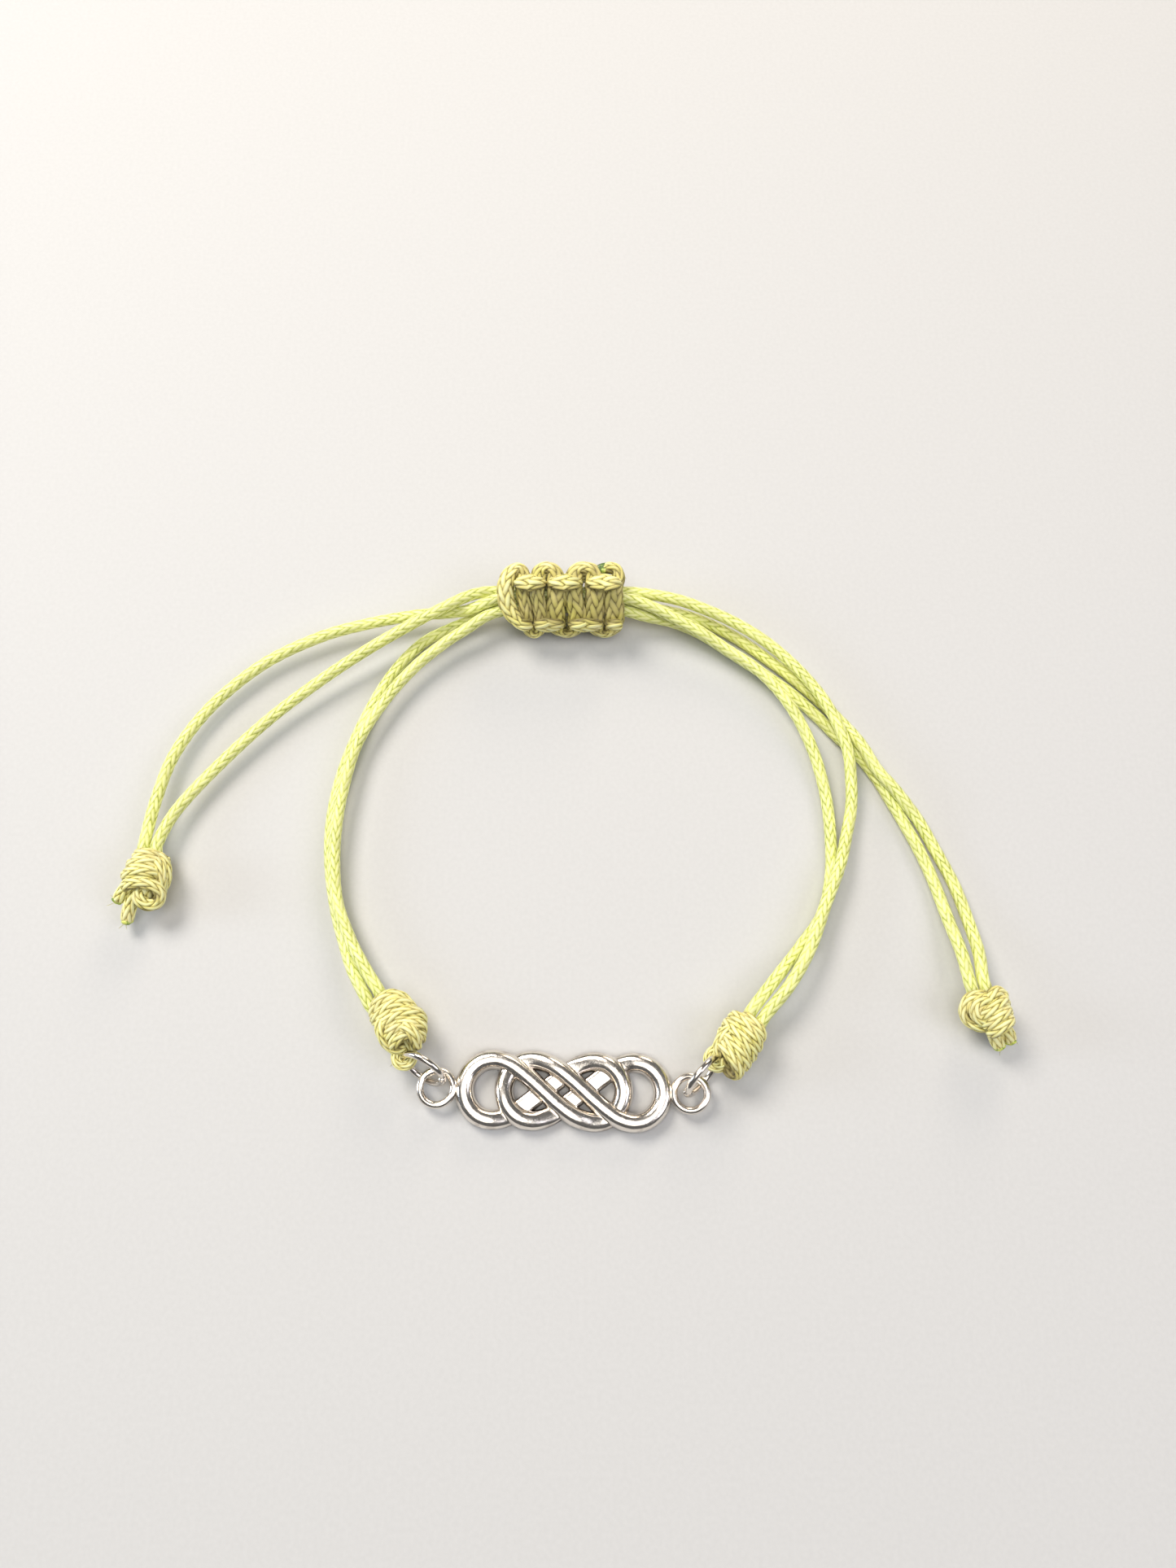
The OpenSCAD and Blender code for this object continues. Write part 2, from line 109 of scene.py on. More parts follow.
# Cut ends past the end knots, points of each way
TIPS = {
    "end_knot_left": [
        [(-51.9, -6.6, 2.6), (-52.8, -7.9, 2.6), (-53.3, -9.3, 2.2), (-53.7, -10.9, 1.55)],
        [(-52.2, -6, 2.9), (-53.1, -6.9, 3.3), (-53.9, -7.7, 3), (-54.7, -8.6, 2.4)]],
    "end_knot_right": [
        [(43.9, -21.6, 2.6), (44.2, -23, 2.9), (44.75, -24.1, 2.6), (45.3, -25.1, 2)],
        [(44.8, -21.4, 2.9), (45.4, -22.8, 3.1), (46, -23.6, 2.8), (46.6, -24.45, 2.2)]]}

# Loose filaments at each knot, columns start, direction, length
HAIRS = {
    "sliding_knot": [((3, 31.6, 6.6), (0.8, -0.3, -0.2), 1.5),
        ((2.9, 31.9, 6.3), (0.9, -0.1, -0.2), 1.2), ((3.2, 31.3, 6.5), (0.9, -0.5, -0.3), 1)],
    "ring_knot_left": [((-21.8, -26.3, 2.4), (-0.3, -1, -0.3), 1.2)],
    "end_knot_left": [((-53.6, -10.6, 1.6), (-0.5, -0.9, -0.1), 1.5),
        ((-53.9, -10.8, 1.7), (0.5, -0.9, 0.1), 1.1), ((-54.7, -8.5, 2.6), (-0.9, 0.2, 0), 1),
        ((-54.8, -8.7, 2.4), (-0.8, -0.6, -0.1), 1.3)],
    "end_knot_right": [((45.4, -25.2, 1.8), (0.2, -1, -0.1), 0.9),
        ((46.8, -24.4, 2.2), (0.9, -0.5, 0), 0.8)]}
HAIR_RADIUS = 0.03

# The eight cords, columns node, route, knot, side of the knot, far end
CORDS = [
    ("tail_cord_left_a", TAIL_LEFT_A, "end_knot_left", -1, "knot"),
    ("tail_cord_left_b", TAIL_LEFT_B, "end_knot_left", 1, "knot"),
    ("tail_cord_right_a", TAIL_RIGHT_A, "end_knot_right", 1, "knot"),
    ("tail_cord_right_b", TAIL_RIGHT_B, "end_knot_right", -1, "knot"),
    ("band_cord_left_outer", BAND_LEFT_OUTER, "ring_knot_left", -1, "object"),
    ("band_cord_left_inner", BAND_LEFT_INNER, "ring_knot_left", 1, "object"),
    ("band_cord_right_outer", BAND_RIGHT_OUTER, "ring_knot_right", 1, "object"),
    ("band_cord_right_inner", BAND_RIGHT_INNER, "ring_knot_right", -1, "object"),
]

# Last points of a cord at its knot, columns distance out of the knot's face, place to its own side,
# share of the sideways place of both cords
INTO_KNOT = [(1.5, 0.78, 1), (0.17, 0.77, 1), (-0.9, 0.72, 0.8)]

# Distance between the points of a way, on a free cord and in a knot
CORD_STEP = 0.2
KNOT_STEP = 0.15

# Radius of the cord where it is drawn tight round a jump ring, of its cut ends past an end knot, of
# the plies packed inside the sliding knot, and of the core that fills a knot under its strands
BIGHT = 0.53
STUB = 0.77
PACKED = 0.55
KNOT_CORE = 1.35

# A strand on a knot as shares of the free cord, columns radius, width, thickness
STRAND = (0.92, 1.1, 0.95)

# Gaps that a strand on a knot keeps above the table, and a bight keeps round its ring's wire
TABLE_GAP = 0.03
WIRE_GAP = 0.02

# Where each bar of the sliding knot crosses the front, columns far edge, near edge, flattening
BARS = [(-6.1, -5.6, 1.25), (-5.0, -4.5, 1.2), (-3.1, -2.7, 1.25), (-0.7, -0.9, 1.65),
    (1.3, 1.8, 1.6), (4.0, 3.9, 1.65), (6.2, 6.4, 1.65)]

# One infinity of the charm round its own centre, columns x, y, height, flat top
INFINITY = [(-8.85, 0, 2.0, 0), (-8.4, 1.65, 2.0, 0), (-7.2, 2.85, 2.1, 0), (-5.65, 3.25, 2.2, 0),
    (-4.1, 2.9, 2.3, 0), (-2.8, 2.15, 2.3, 0), (-1.3, 1.0, 2.3, 0), (0, -0.1, 2.3, 0),
    (1.3, -1.2, 2.3, 0), (2.8, -2.3, 2.3, 0), (4.1, -2.95, 2.1, 0), (5.65, -3.25, 1.7, 0),
    (7.2, -2.85, 1.5, 0), (8.4, -1.65, 1.9, 0), (8.85, 0, 2.2, 0), (8.4, 1.65, 2.3, 0),
    (7.2, 2.85, 2.2, 0), (5.65, 3.25, 1.9, 0), (4.1, 2.9, 1.5, 0), (2.8, 2.15, 1.2, 1),
    (1.3, 1.0, 1.2, 1), (0, 0, 1.2, 1), (-1.3, -1.0, 1.2, 1), (-2.8, -2.15, 1.2, 1),
    (-4.1, -2.9, 1.4, 0), (-5.65, -3.25, 1.8, 0), (-7.2, -2.85, 2.0, 0), (-8.4, -1.65, 2.0, 0)]
INFINITY_SHIFT = 2.2
CHARM_AT = (-3.2, -29.85, 0)
CHARM_TURN = math.radians(-1.25)
CHARM_WIDE = 2.15
BAR_HIGH = 1.2
LOOP_X = 14.05
LOOP_R = 1.85
LOOP_Z = 1.4
LOOP_WIRE = 0.85
TARNISH_TO = 1.6

# Back of a strand of the charm, columns half width, and powers of its sides and of its top, which are
# squarer where they are smaller. It stands on a foot of 0.3 of its height
ROUND_BACK = (0.5, 0.75, 0.9)
FLAT_BACK = (0.45, 0.35, 0.35)

# Camera and floor, in metres
CAMERA_AT = (-0.000489, -0.036994, 0.1357)
CAMERA_TILT = math.radians(18)
FLOOR_HALF = 1.2
FLOOR_DOWN = 0.00002

# Lamps aimed at the middle, in metres and watts, columns name, place, width, power, colour
LAMPS = [("key", (-0.24, 0.26, 0.40), 0.26, 2.3, "FFF8F0"), ("fill", (0.36, -0.1, 0.34), 0.30, 0.8, "F4F3FF"),
    ("overhead", (-0.02, -0.12, 0.62), 0.45, 1.8, "FFFCF8"),
    ("window", (-0.50, 0.02, 0.16), 0.18, 0.9, "DDEBFF"), ("back", (0.14, 0.45, 0.20), 0.20, 0.8, "FFF0DC")]


def linear(code):
    """An sRGB hex value as linear red, green and blue."""
    parts = [int(code[i:i + 2], 16) / 255 for i in (0, 2, 4)]
    return tuple(c / 12.92 if c <= 0.04045 else ((c + 0.055) / 1.055) ** 2.4 for c in parts)


def length_prop(name, description, default, least, most):
    """A size in metres that a user may change."""
    return FloatProperty(name=name, description=description, default=default, min=least, max=most,
        unit="LENGTH", precision=6)


def colour_prop(name, description, code):
    """A colour that a user may change, given as an sRGB hex value."""
    return FloatVectorProperty(name=name, description=description, default=linear(code), min=0, max=1,
        subtype="COLOR")


class CordSizes(bpy.types.PropertyGroup):
    thickness: length_prop("Thickness", "Diameter of the braided cord", 0.0014, 0.0008, 0.003)
    cell: length_prop("Braid cell", "Length of one crossing of the braid", 0.0015, 0.0008, 0.004)
    relief: length_prop("Relief", "How far the floats of the braid stand out", 0.00004, 0.0, 0.0003)
    carriers: IntProperty(name="Carriers", description="Yarns of the braid that run each way round",
        default=8, min=4, max=12)
    sides: IntProperty(name="Sides", description="Points round the cord", default=40, min=16, max=64)
    body: colour_prop("Cord colour", "Dyed yarn on the floats", "D8DF6C")
    # The crown colour is a painted highlight on the crowns of the floats
    pale: colour_prop("Crown colour", "Yarn where the wax has a white bloom", "F4F6AE")
    groove: colour_prop("Groove colour", "Shade between the floats", "8B9440")


class KnotSizes(bpy.types.PropertyGroup):
    body: colour_prop("Knot colour", "Yarn in the knots, rubbed and drier", "E6DC76")
    groove: colour_prop("Gap colour", "Shade between the turns", "544606")
    relief: length_prop("Relief", "How far the strained floats stand out", 0.00015, 0.0, 0.0004)
    cell: length_prop("Braid cell", "Length of one crossing where the cord is tight", 0.0017, 0.0008, 0.004)
    carriers: IntProperty(name="Carriers", description="Yarns that can be told apart each way round",
        default=8, min=3, max=12)


class SilverSizes(bpy.types.PropertyGroup):
    silver: colour_prop("Silver colour", "Polished plating", "ECE5DB")
    tarnish: colour_prop("Tarnish colour", "Darkened plating in the hollows", "6E5C50")
    wire: length_prop("Ring wire", "Wire of a jump ring", 0.0008, 0.0004, 0.0015)
    ring: length_prop("Ring size", "Outer diameter of a jump ring", 0.0058, 0.004, 0.009)


class StageSizes(bpy.types.PropertyGroup):
    floor: colour_prop("Floor colour", "Plain pale floor", "C9C9C7")
    lens: FloatProperty(name="Lens", description="Focal length of the photograph's camera", default=36.05,
        min=10, max=100, unit="CAMERA")


# Ways and skins. A skin is its points, its faces and up to three columns that the finish reads: how
# lit each point is painted, which on the charm is how clear of tarnish it lies, a tint for each point, and
# for each corner its turn round the cord and its run along it

# Directions that no way and no melted tip points along, to start their two sides from
WAY_ASKEW = (0.12, 0.31, 1.0)
TIP_ASKEW = (0.1, 0.2, 1.0)

# A point of a turn gets no painted shade where it faces this far outwards, as a cosine
FULLY_LIT = 0.75


def unit(v):
    """The same vectors, each with length 1."""
    return v / np.maximum(np.linalg.norm(v, axis=-1, keepdims=True), 1e-12)


def turned(points, angle, axis):
    """The points turned about the x or the z axis."""
    c, s = math.cos(angle), math.sin(angle)
    turn = [[1, 0, 0], [0, c, -s], [0, s, c]] if axis == "x" else [[c, -s, 0], [s, c, 0], [0, 0, 1]]
    return points @ np.array(turn).T


def between(points, steps):
    """A smooth curve from the second point to the last but one, as in the part's source."""
    out = []
    for a, b, c, d in zip(points, points[1:], points[2:], points[3:]):
        for t in np.arange(steps) / steps:
            out.append(0.5 * (2 * b + (c - a) * t + (2 * a - 5 * b + 4 * c - d) * t * t
                + (3 * b - a - 3 * c + d) * t ** 3))
    return np.array(out)


def smooth_way(points, steps=8):
    """A smooth curve through all the points."""
    p = np.asarray(points, dtype=float)
    return np.vstack([between(np.vstack([p[:1], p, p[-1:]]), steps), p[-1:]])


def run_along(way):
    """How far along the way each of its points lies."""
    return np.r_[0, np.cumsum(np.linalg.norm(np.diff(way[:, :3], axis=0), axis=1))]


def even(way, spacing):
    """The same way with points an even distance apart. Columns past the third go along."""
    way = np.asarray(way, dtype=float)
    run = run_along(way)
    at = np.linspace(0, run[-1], max(3, int(round(run[-1] / spacing)) + 1))
    return np.stack([np.interp(at, run, column) for column in way.T], axis=1)


def directions(way):
    """Tangent and two sides for each point, with no twist between them."""
    t = unit(np.gradient(way, axis=0))
    sides = [unit(np.cross(t[0], WAY_ASKEW))]
    for tangent in t[1:]:
        sides.append(unit(sides[-1] - tangent * (sides[-1] @ tangent)))
    u = np.array(sides)
    return t, u, np.cross(t, u)


def braid(turn, run, carriers):
    """Height from 0 to 1 of a braid of two over two, and a number from 0 to 1 for each float."""
    a = carriers * turn + run
    b = carriers * turn - run
    i = np.floor(a)
    j = np.floor(b)
    over = np.mod(i + j, 4) < 2
    across = np.where(over, a - i, b - j) - 0.5
    along = np.where(over, np.mod(i + b, 4), np.mod(j + a - 2, 4)) / 2
    # A float is a leaf, widest and highest half way along
    leaf = np.sqrt(np.sin(math.pi * np.clip(along, 0.02, 0.98)))
    width = 0.56 + 0.44 * leaf
    height = np.sqrt(np.maximum(1 - (2 * across / width) ** 2, 0)) * (0.5 + 0.5 * leaf)
    # Any fixed sum of the float's two counts that scatters well serves for its number
    mark = np.where(over, i * 12.9898 + np.floor((i + b) / 4) * 78.233,
        j * 39.346 + np.floor((j + a - 2) / 4) * 11.135 + 5.1)
    number = np.sin(mark) * 43758.5453
    return height, number - np.floor(number)


def tube_faces(rings, sides):
    """Quads between rings of points, and a cap at each end."""
    i = np.arange(rings - 1)[:, None] * sides
    k = np.arange(sides)
    n = (k + 1) % sides
    quads = np.stack([i + k, i + n, i + sides + n, i + sides + k], axis=-1).reshape(-1, 4)
    last = (rings - 1) * sides
    return quads.tolist() + [list(range(sides))[::-1], list(range(last, last + sides))]


def closed_faces(rings, sides):
    """Quads between rings of points whose last ring meets the first."""
    i = np.arange(rings)[:, None] * sides
    j = np.roll(i, -1, axis=0)
    k = np.arange(sides)
    n = (k + 1) % sides
    return np.stack([i + k, j + k, j + n, i + n], axis=-1).reshape(-1, 4).tolist()


def cord_skin(way, radius, relief, cell, carriers, sides, normal=None, wide=1.0, flat=1.0,
        start_turn=0.0, taper=(1.0, 1.0), slack=1.0):
    """The skin of a braided cord along an even way, in millimetres. Where a normal says which way
    is outwards, wide stretches the cord across it and flat along it, and points facing inwards get painted
    shade."""
    rings = len(way)
    t, u, v = directions(way)
    run = run_along(way)
    turn = np.arange(sides) / sides
    height, tint = braid(turn + start_turn, run[:, None] / cell, carriers)
    ends = np.ones(rings)
    for end, share in zip((0, -1), taper):
        gap = np.minimum(np.abs(run - run[end]) / radius, 1)
        ends *= share + (1 - share) * np.sqrt(gap * (2 - gap))
    reach = (radius - relief * 0.6 + relief * height) * ends[:, None]
    angle = 2 * math.pi * turn[:, None]
    out = reach[..., None] * (np.cos(angle) * u[:, None] + np.sin(angle) * v[:, None])
    points = way[:, None] + out
    # Painted shade, darker where a point faces in towards the other turns and on rings given less light
    lit_and_untarnished = np.ones((rings, sides))
    if normal is not None:
        n = unit(normal - t * np.sum(normal * t, axis=1, keepdims=True))
        lit_and_untarnished = np.clip(np.sum(unit(out) * n[:, None], axis=2) / FULLY_LIT, 0, 1)
        for axis, stretch in ((np.cross(t, n)[:, None], wide), (n[:, None], flat)):
            more = np.broadcast_to(stretch, rings)[:, None, None] - 1
            points = points + more * np.sum(out * axis, axis=2, keepdims=True) * axis
    lit_and_untarnished = lit_and_untarnished * np.broadcast_to(slack, rings)[:, None]
    turn = turn + start_turn
    corners = np.empty((rings - 1, sides, 4, 2))
    corners[..., 0] = np.stack([turn, turn + 1 / sides, turn + 1 / sides, turn], axis=1)
    corners[..., :2, 1] = run[:-1, None, None]
    corners[..., 2:, 1] = run[1:, None, None]
    caps = np.empty((2, sides, 2))
    caps[..., 0] = turn[::-1], turn
    caps[..., 1] = run[[0, -1]][:, None]
    return (points.reshape(-1, 3), tube_faces(rings, sides), lit_and_untarnished.ravel(), tint.ravel(),
        np.vstack([corners.reshape(-1, 2), caps.reshape(-1, 2)]))


def knot_skin(way, radius, *shape, **more):
    """The skin of a cord that is drawn tight in a knot."""
    cord, knot = bpy.context.scene.cord_sizes, bpy.context.scene.knot_sizes
    return cord_skin(way, radius, knot.relief / MM, knot.cell / MM, knot.carriers, cord.sides,
        *shape, **more)


def joined(skins):
    """Several skins as one."""
    points, faces, *columns = zip(*skins)
    moved = []
    start = 0
    for own, group in zip(points, faces):
        moved += [[k + start for k in face] for face in group]
        start += len(own)
    return (np.vstack(points), moved, *(np.concatenate(column) for column in columns))


def mesh_piece(name, skin, finish, node=None):
    """A piece in metres from a skin in millimetres, which stands for a node where one is named."""
    points, faces, *columns = skin
    # Soft cord lies flat where it is pressed on the table
    pressed = np.column_stack([points[:, :2], np.maximum(points[:, 2], 0)])
    mesh = bpy.data.meshes.new(name)
    mesh.from_pydata((pressed * MM).tolist(), [], faces)
    for column, values in zip(("lit_and_untarnished", "tint"), columns):
        mesh.attributes.new(column, "FLOAT", "POINT").data.foreach_set("value", values)
    for corners in columns[2:]:
        mesh.uv_layers.new(name="cord_run").data.foreach_set("uv", corners.ravel())
    mesh.materials.append(finish_of(finish))
    mesh.shade_smooth()
    mesh.validate()
    mesh.update()
    piece = bpy.data.objects.new(name, mesh)
    bpy.context.scene.collection.objects.link(piece)
    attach(piece, "root")
    if node:
        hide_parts(node)


# Materials

def add(tree, kind, inputs=None, stops=(), **settings):
    """A shader node with its settings and, on a ramp, its stops. Each input is a value, a socket,
    or a node, whose first output it takes."""
    made = tree.nodes.new("ShaderNode" + kind)
    for name, value in settings.items():
        setattr(made, name, value)
    for name, value in (inputs or {}).items():
        if isinstance(value, bpy.types.Node):
            value = value.outputs[0]
        if isinstance(value, bpy.types.NodeSocket):
            tree.links.new(value, made.inputs[name])
        else:
            made.inputs[name].default_value = value
    if stops:
        elements = made.color_ramp.elements
        while len(elements) < len(stops):
            elements.new(0.5)
        for element, (place, colour) in zip(elements, stops):
            element.position = place
            element.color = (*colour, 1)
    return made


def mixed(first, second, share):
    """The colour that lies this share of the way from the first to the second."""
    return tuple((1 - share) * a + share * b for a, b in zip(first, second))


def per(span):
    """The scale of a pattern whose marks are this many millimetres across."""
    return 1 / (span * MM)


# The braid as sums of the turn round the cord and the run along it, columns result, sum, parts.
# a and b count the yarns of the two hands, over says which hand is on top, off is how far a point
# is from the middle of its float, and leaf narrows a float towards its ends
BRAID_SUMS = [("round", "MULTIPLY", "turn", "carriers"), ("pass", "DIVIDE", "run", "cell"),
    ("a", "ADD", "round", "pass"), ("b", "SUBTRACT", "round", "pass"), ("i", "FLOOR", "a"),
    ("j", "FLOOR", "b"), ("both", "ADD", "i", "j"), ("phase", "FLOORED_MODULO", "both", 4),
    ("over", "LESS_THAN", "phase", 1.5), ("a part", "SUBTRACT", "a", "i"),
    ("b part", "SUBTRACT", "b", "j"), ("part step", "SUBTRACT", "a part", "b part"),
    ("part", "MULTIPLY_ADD", "part step", "over", "b part"), ("off", "SUBTRACT", "part", 0.5),
    ("i b", "ADD", "i", "b"), ("j a", "ADD", "j", "a"), ("j a on", "ADD", "j a", 2),
    ("a along", "FLOORED_MODULO", "i b", 4), ("b along", "FLOORED_MODULO", "j a on", 4),
    ("along step", "SUBTRACT", "a along", "b along"),
    ("along", "MULTIPLY_ADD", "along step", "over", "b along"),
    ("arc", "MULTIPLY", "along", math.pi / 2), ("swell", "SINE", "arc"),
    ("swell up", "MAXIMUM", "swell", 0.01), ("leaf", "SQRT", "swell up"),
    ("half", "MULTIPLY_ADD", "leaf", 0.22, 0.28), ("ratio", "DIVIDE", "off", "half"),
    ("square", "MULTIPLY", "ratio", "ratio"), ("rest", "SUBTRACT", 1, "square"),
    ("rest up", "MAXIMUM", "rest", 0), ("crown", "SQRT", "rest up"),
    ("lift", "MULTIPLY_ADD", "leaf", 0.5, 0.5), ("height", "MULTIPLY", "crown", "lift")]


def braided_polyester(tree, yarn, pale, dryness_and_groove_shade, stand):
    """Braided polyester yarn, waxed: satin floats with a painted highlight on their crowns and painted shade
    in the grooves between them. Drawn tight in a knot it is drier and more straw coloured, with deeper
    painted groove shade."""
    tint = add(tree, "Attribute", attribute_name="tint").outputs["Fac"]
    lit_and_untarnished = add(tree, "Attribute", attribute_name="lit_and_untarnished").outputs["Fac"]
    place = add(tree, "TexCoord").outputs["Object"]
    split = add(tree, "SeparateXYZ", {"Vector": add(tree, "UVMap", uv_map="cord_run")})
    sums = {"turn": split.outputs["X"], "run": split.outputs["Y"], "carriers": yarn.carriers,
        "cell": yarn.cell / MM}
    for result, kind, *parts in BRAID_SUMS:
        parts = {number: sums.get(part, part) for number, part in enumerate(parts)}
        sums[result] = add(tree, "Math", parts, operation=kind)
    height = sums["height"]
    # Filaments are 0.02 mm, drawn 0.06 mm across and 1 mm long so that they show
    ply = add(tree, "CombineXYZ", {"X": sums["off"], "Y": sums["along"], "Z": sums["both"]})
    fibre_place = add(tree, "Mapping", {"Vector": ply, "Scale": (11, 0.7, 3.7)})
    fibre = add(tree, "TexNoise", {"Vector": fibre_place, "Scale": 1.0, "Detail": 3.0,
        "Roughness": 0.6, "Distortion": 0.5})
    # Patches of wax and handling, 2 mm across
    patch = add(tree, "TexNoise", {"Vector": place, "Scale": per(2), "Detail": 4.0, "Roughness": 0.55})
    # Wax fills the grooves in places
    wax = add(tree, "MapRange", {"Value": patch, "From Min": 0.38, "From Max": 0.62, "To Min": 0.1,
        "To Max": 0.75 - 0.6 * dryness_and_groove_shade})
    lack = add(tree, "Math", {0: 0.8, 1: height}, operation="SUBTRACT")
    filled = add(tree, "Math", {0: lack, 1: wax, 2: height}, operation="MULTIPLY_ADD")
    # Painted shade: the cord is painted darker where it faces in between turns, and paler where it faces out
    lit_share = add(tree, "MapRange", {"Value": lit_and_untarnished, "To Min": 0.2})
    shown = add(tree, "Math", {0: filled, 1: lit_share}, operation="MULTIPLY")
    # Painted shade in the grooves and a painted highlight on the crowns of the floats; on drier yarn the
    # painted shade reaches further up each float
    base = add(tree, "ValToRGB", {"Fac": shown}, [(0.0, yarn.groove),
        (0.28 + 0.06 * dryness_and_groove_shade, mixed(yarn.groove, yarn.body, 0.55)),
        (0.5 + 0.18 * dryness_and_groove_shade, yarn.body), (0.96, pale)])
    shade = add(tree, "MapRange", {"Value": tint, "To Min": 0.86, "To Max": 1.08})
    tone = add(tree, "HueSaturation", {"Color": base, "Value": shade})
    dry = add(tree, "MapRange", {"Value": patch, "From Min": 0.35, "From Max": 0.7, "To Max": dryness_and_groove_shade})
    straw = add(tree, "HueSaturation", {"Hue": 0.482, "Saturation": 0.82, "Value": 0.97, "Fac": dry,
        "Color": tone})
    streak = add(tree, "MapRange", {"Value": fibre, "From Min": 0.3, "From Max": 0.7, "To Min": 0.9,
        "To Max": 1.07})
    colour = add(tree, "HueSaturation", {"Value": streak, "Color": straw})
    rough = add(tree, "MapRange", {"Value": patch, "To Min": 0.34 + 0.1 * dryness_and_groove_shade,
        "To Max": 0.56 + 0.1 * dryness_and_groove_shade})
    heights = add(tree, "Math", {0: fibre, 1: 0.3, 2: height}, operation="MULTIPLY_ADD")
    bump = add(tree, "Bump", {"Height": heights, "Strength": 0.7, "Distance": stand * yarn.relief})
    return add(tree, "BsdfPrincipled", {"Base Color": colour, "Roughness": rough, "Normal": bump,
        "IOR": 1.5, "Coat Weight": 0.12, "Coat Roughness": 0.38, "Sheen Weight": 0.12,
        "Sheen Roughness": 0.45})


def melted_polyester(tree, body, scorch):
    """Polyester melted shut with a flame: glassy beads, dark green where the flame was hottest."""
    place = add(tree, "TexCoord").outputs["Object"]
    # Blotches two thirds of a millimetre across
    blotch = add(tree, "TexNoise", {"Vector": place, "Scale": per(2 / 3), "Detail": 4.0})
    colour = add(tree, "ValToRGB", {"Fac": blotch}, [(scorch - 0.1, linear("4A6620")),
        (scorch, linear("86A23C")), (scorch + 0.12, body)])
    bump = add(tree, "Bump", {"Height": blotch, "Strength": 0.6, "Distance": 0.1 * MM})
    return add(tree, "BsdfPrincipled", {"Base Color": colour, "Roughness": 0.28, "Normal": bump,
        "IOR": 1.5})


def plated_silver(tree, metal, smoothest, roughest, grain):
    """Silver plate on a zinc casting or brass wire, tumbled bright: mirror like with soft waves
    from the casting, fine rub marks, and brown tarnish where a cloth can't reach."""
    lit_and_untarnished = add(tree, "Attribute", attribute_name="lit_and_untarnished").outputs["Fac"]
    place = add(tree, "TexCoord").outputs["Object"]
    # Waves of the casting, a little over a millimetre long
    wave = add(tree, "TexNoise", {"Vector": place, "Scale": per(10 / 9), "Detail": 2.0})
    # Rub marks are a few hundredths of a millimetre apart, drawn at 0.1 mm
    rub_place = add(tree, "Mapping", {"Vector": place, "Scale": [per(span) for span in grain]})
    rub = add(tree, "TexNoise", {"Vector": rub_place, "Scale": 1.0, "Detail": 4.0, "Roughness": 0.65})
    worn = add(tree, "Math", {0: lit_and_untarnished, 1: wave, 2: -0.02}, operation="MULTIPLY_ADD")
    colour = add(tree, "ValToRGB", {"Fac": worn}, [(0.02, metal.tarnish),
        (0.2, mixed(metal.silver, metal.tarnish, 0.5)), (0.4, metal.silver)])
    rough = add(tree, "MapRange", {"Value": rub, "From Min": 0.3, "From Max": 0.7,
        "To Min": smoothest, "To Max": roughest})
    heights = add(tree, "Math", {0: rub, 1: 0.25, 2: wave}, operation="MULTIPLY_ADD")
    bump = add(tree, "Bump", {"Height": heights, "Strength": 0.35, "Distance": 0.06 * MM})
    return add(tree, "BsdfPrincipled", {"Base Color": colour, "Metallic": 1.0, "Roughness": rough,
        "Normal": bump})


def matt_board(tree, pale):
    """Matt white board for the floor: flat, with a faint grain of 0.5 mm."""
    place = add(tree, "TexCoord").outputs["Object"]
    grain = add(tree, "TexNoise", {"Vector": place, "Scale": per(0.5), "Detail": 3.0})
    tone = add(tree, "ValToRGB", {"Fac": grain}, [(0.3, [0.96 * c for c in pale]), (0.7, pale)])
    bump = add(tree, "Bump", {"Height": grain, "Strength": 0.15, "Distance": 0.05 * MM})
    return add(tree, "BsdfPrincipled", {"Base Color": tone, "Roughness": 0.85, "Normal": bump})


def finish_of(name):
    """A finish of this bracelet, made the first time that it is asked for."""
    if name in bpy.data.materials:
        return bpy.data.materials[name]
    scene = bpy.context.scene
    cord, knot, metal = scene.cord_sizes, scene.knot_sizes, scene.silver_sizes
    # After the colours a yarn has its dryness, which also takes the painted groove shade further up the
    # floats, and the share of its relief that the bump draws, a melted tip how far its scorch goes, and a
    # metal its smoothest and roughest spots and the size of its rub marks in millimetres
    maker, *values = {
        "waxed_braided_polyester": (braided_polyester, cord, cord.pale, 0.25, 0.8),
        "knotted_braided_polyester": (braided_polyester, knot, cord.pale, 0.7, 0.6),
        "melted_polyester": (melted_polyester, cord.body, 0.42),
        "scorched_polyester": (melted_polyester, cord.body, 0.56),
        "cast_silver_plate": (plated_silver, metal, 0.14, 0.28, (1 / 9, 0.4, 1 / 9)),
        "drawn_silver_wire": (plated_silver, metal, 0.12, 0.24, (1 / 9, 1 / 9, 0.4)),
        "matt_board": (matt_board, scene.stage_sizes.floor)}[name]
    material = bpy.data.materials.new(name)
    material.use_nodes = True
    tree = material.node_tree
    tree.nodes.clear()
    add(tree, "OutputMaterial", {"Surface": maker(tree, *values)})
    return material


# Shapes of the pieces

def knot_axes(name):
    """A knot's own axes: along it, to its side, up."""
    x, y = KNOTS[name][1]
    return np.array([[x, y, 0], [-y, x, 0], [0, 0, 1]])


def knot_place(name, points):
    """From a knot's own frame to the row frame, in millimetres."""
    return points @ knot_axes(name) + KNOTS[name][0] + MIDDLE


def cord_way(route, knot, side):
    """The way of a free cord: its route, then square to the knot's face and on into the knot."""
    half, beside = KNOTS[knot][2:4]
    last = [(-half - out, beside * share + side * apart, 0) for out, apart, share in INTO_KNOT]
    return even(smooth_way(np.vstack([route + MIDDLE, knot_place(knot, np.array(last))]), 10), CORD_STEP)


# How far from the middle of the sliding knot its lengthwise floats lie, by side
FLOAT_AT = {1: 2.85, -1: 2.4}

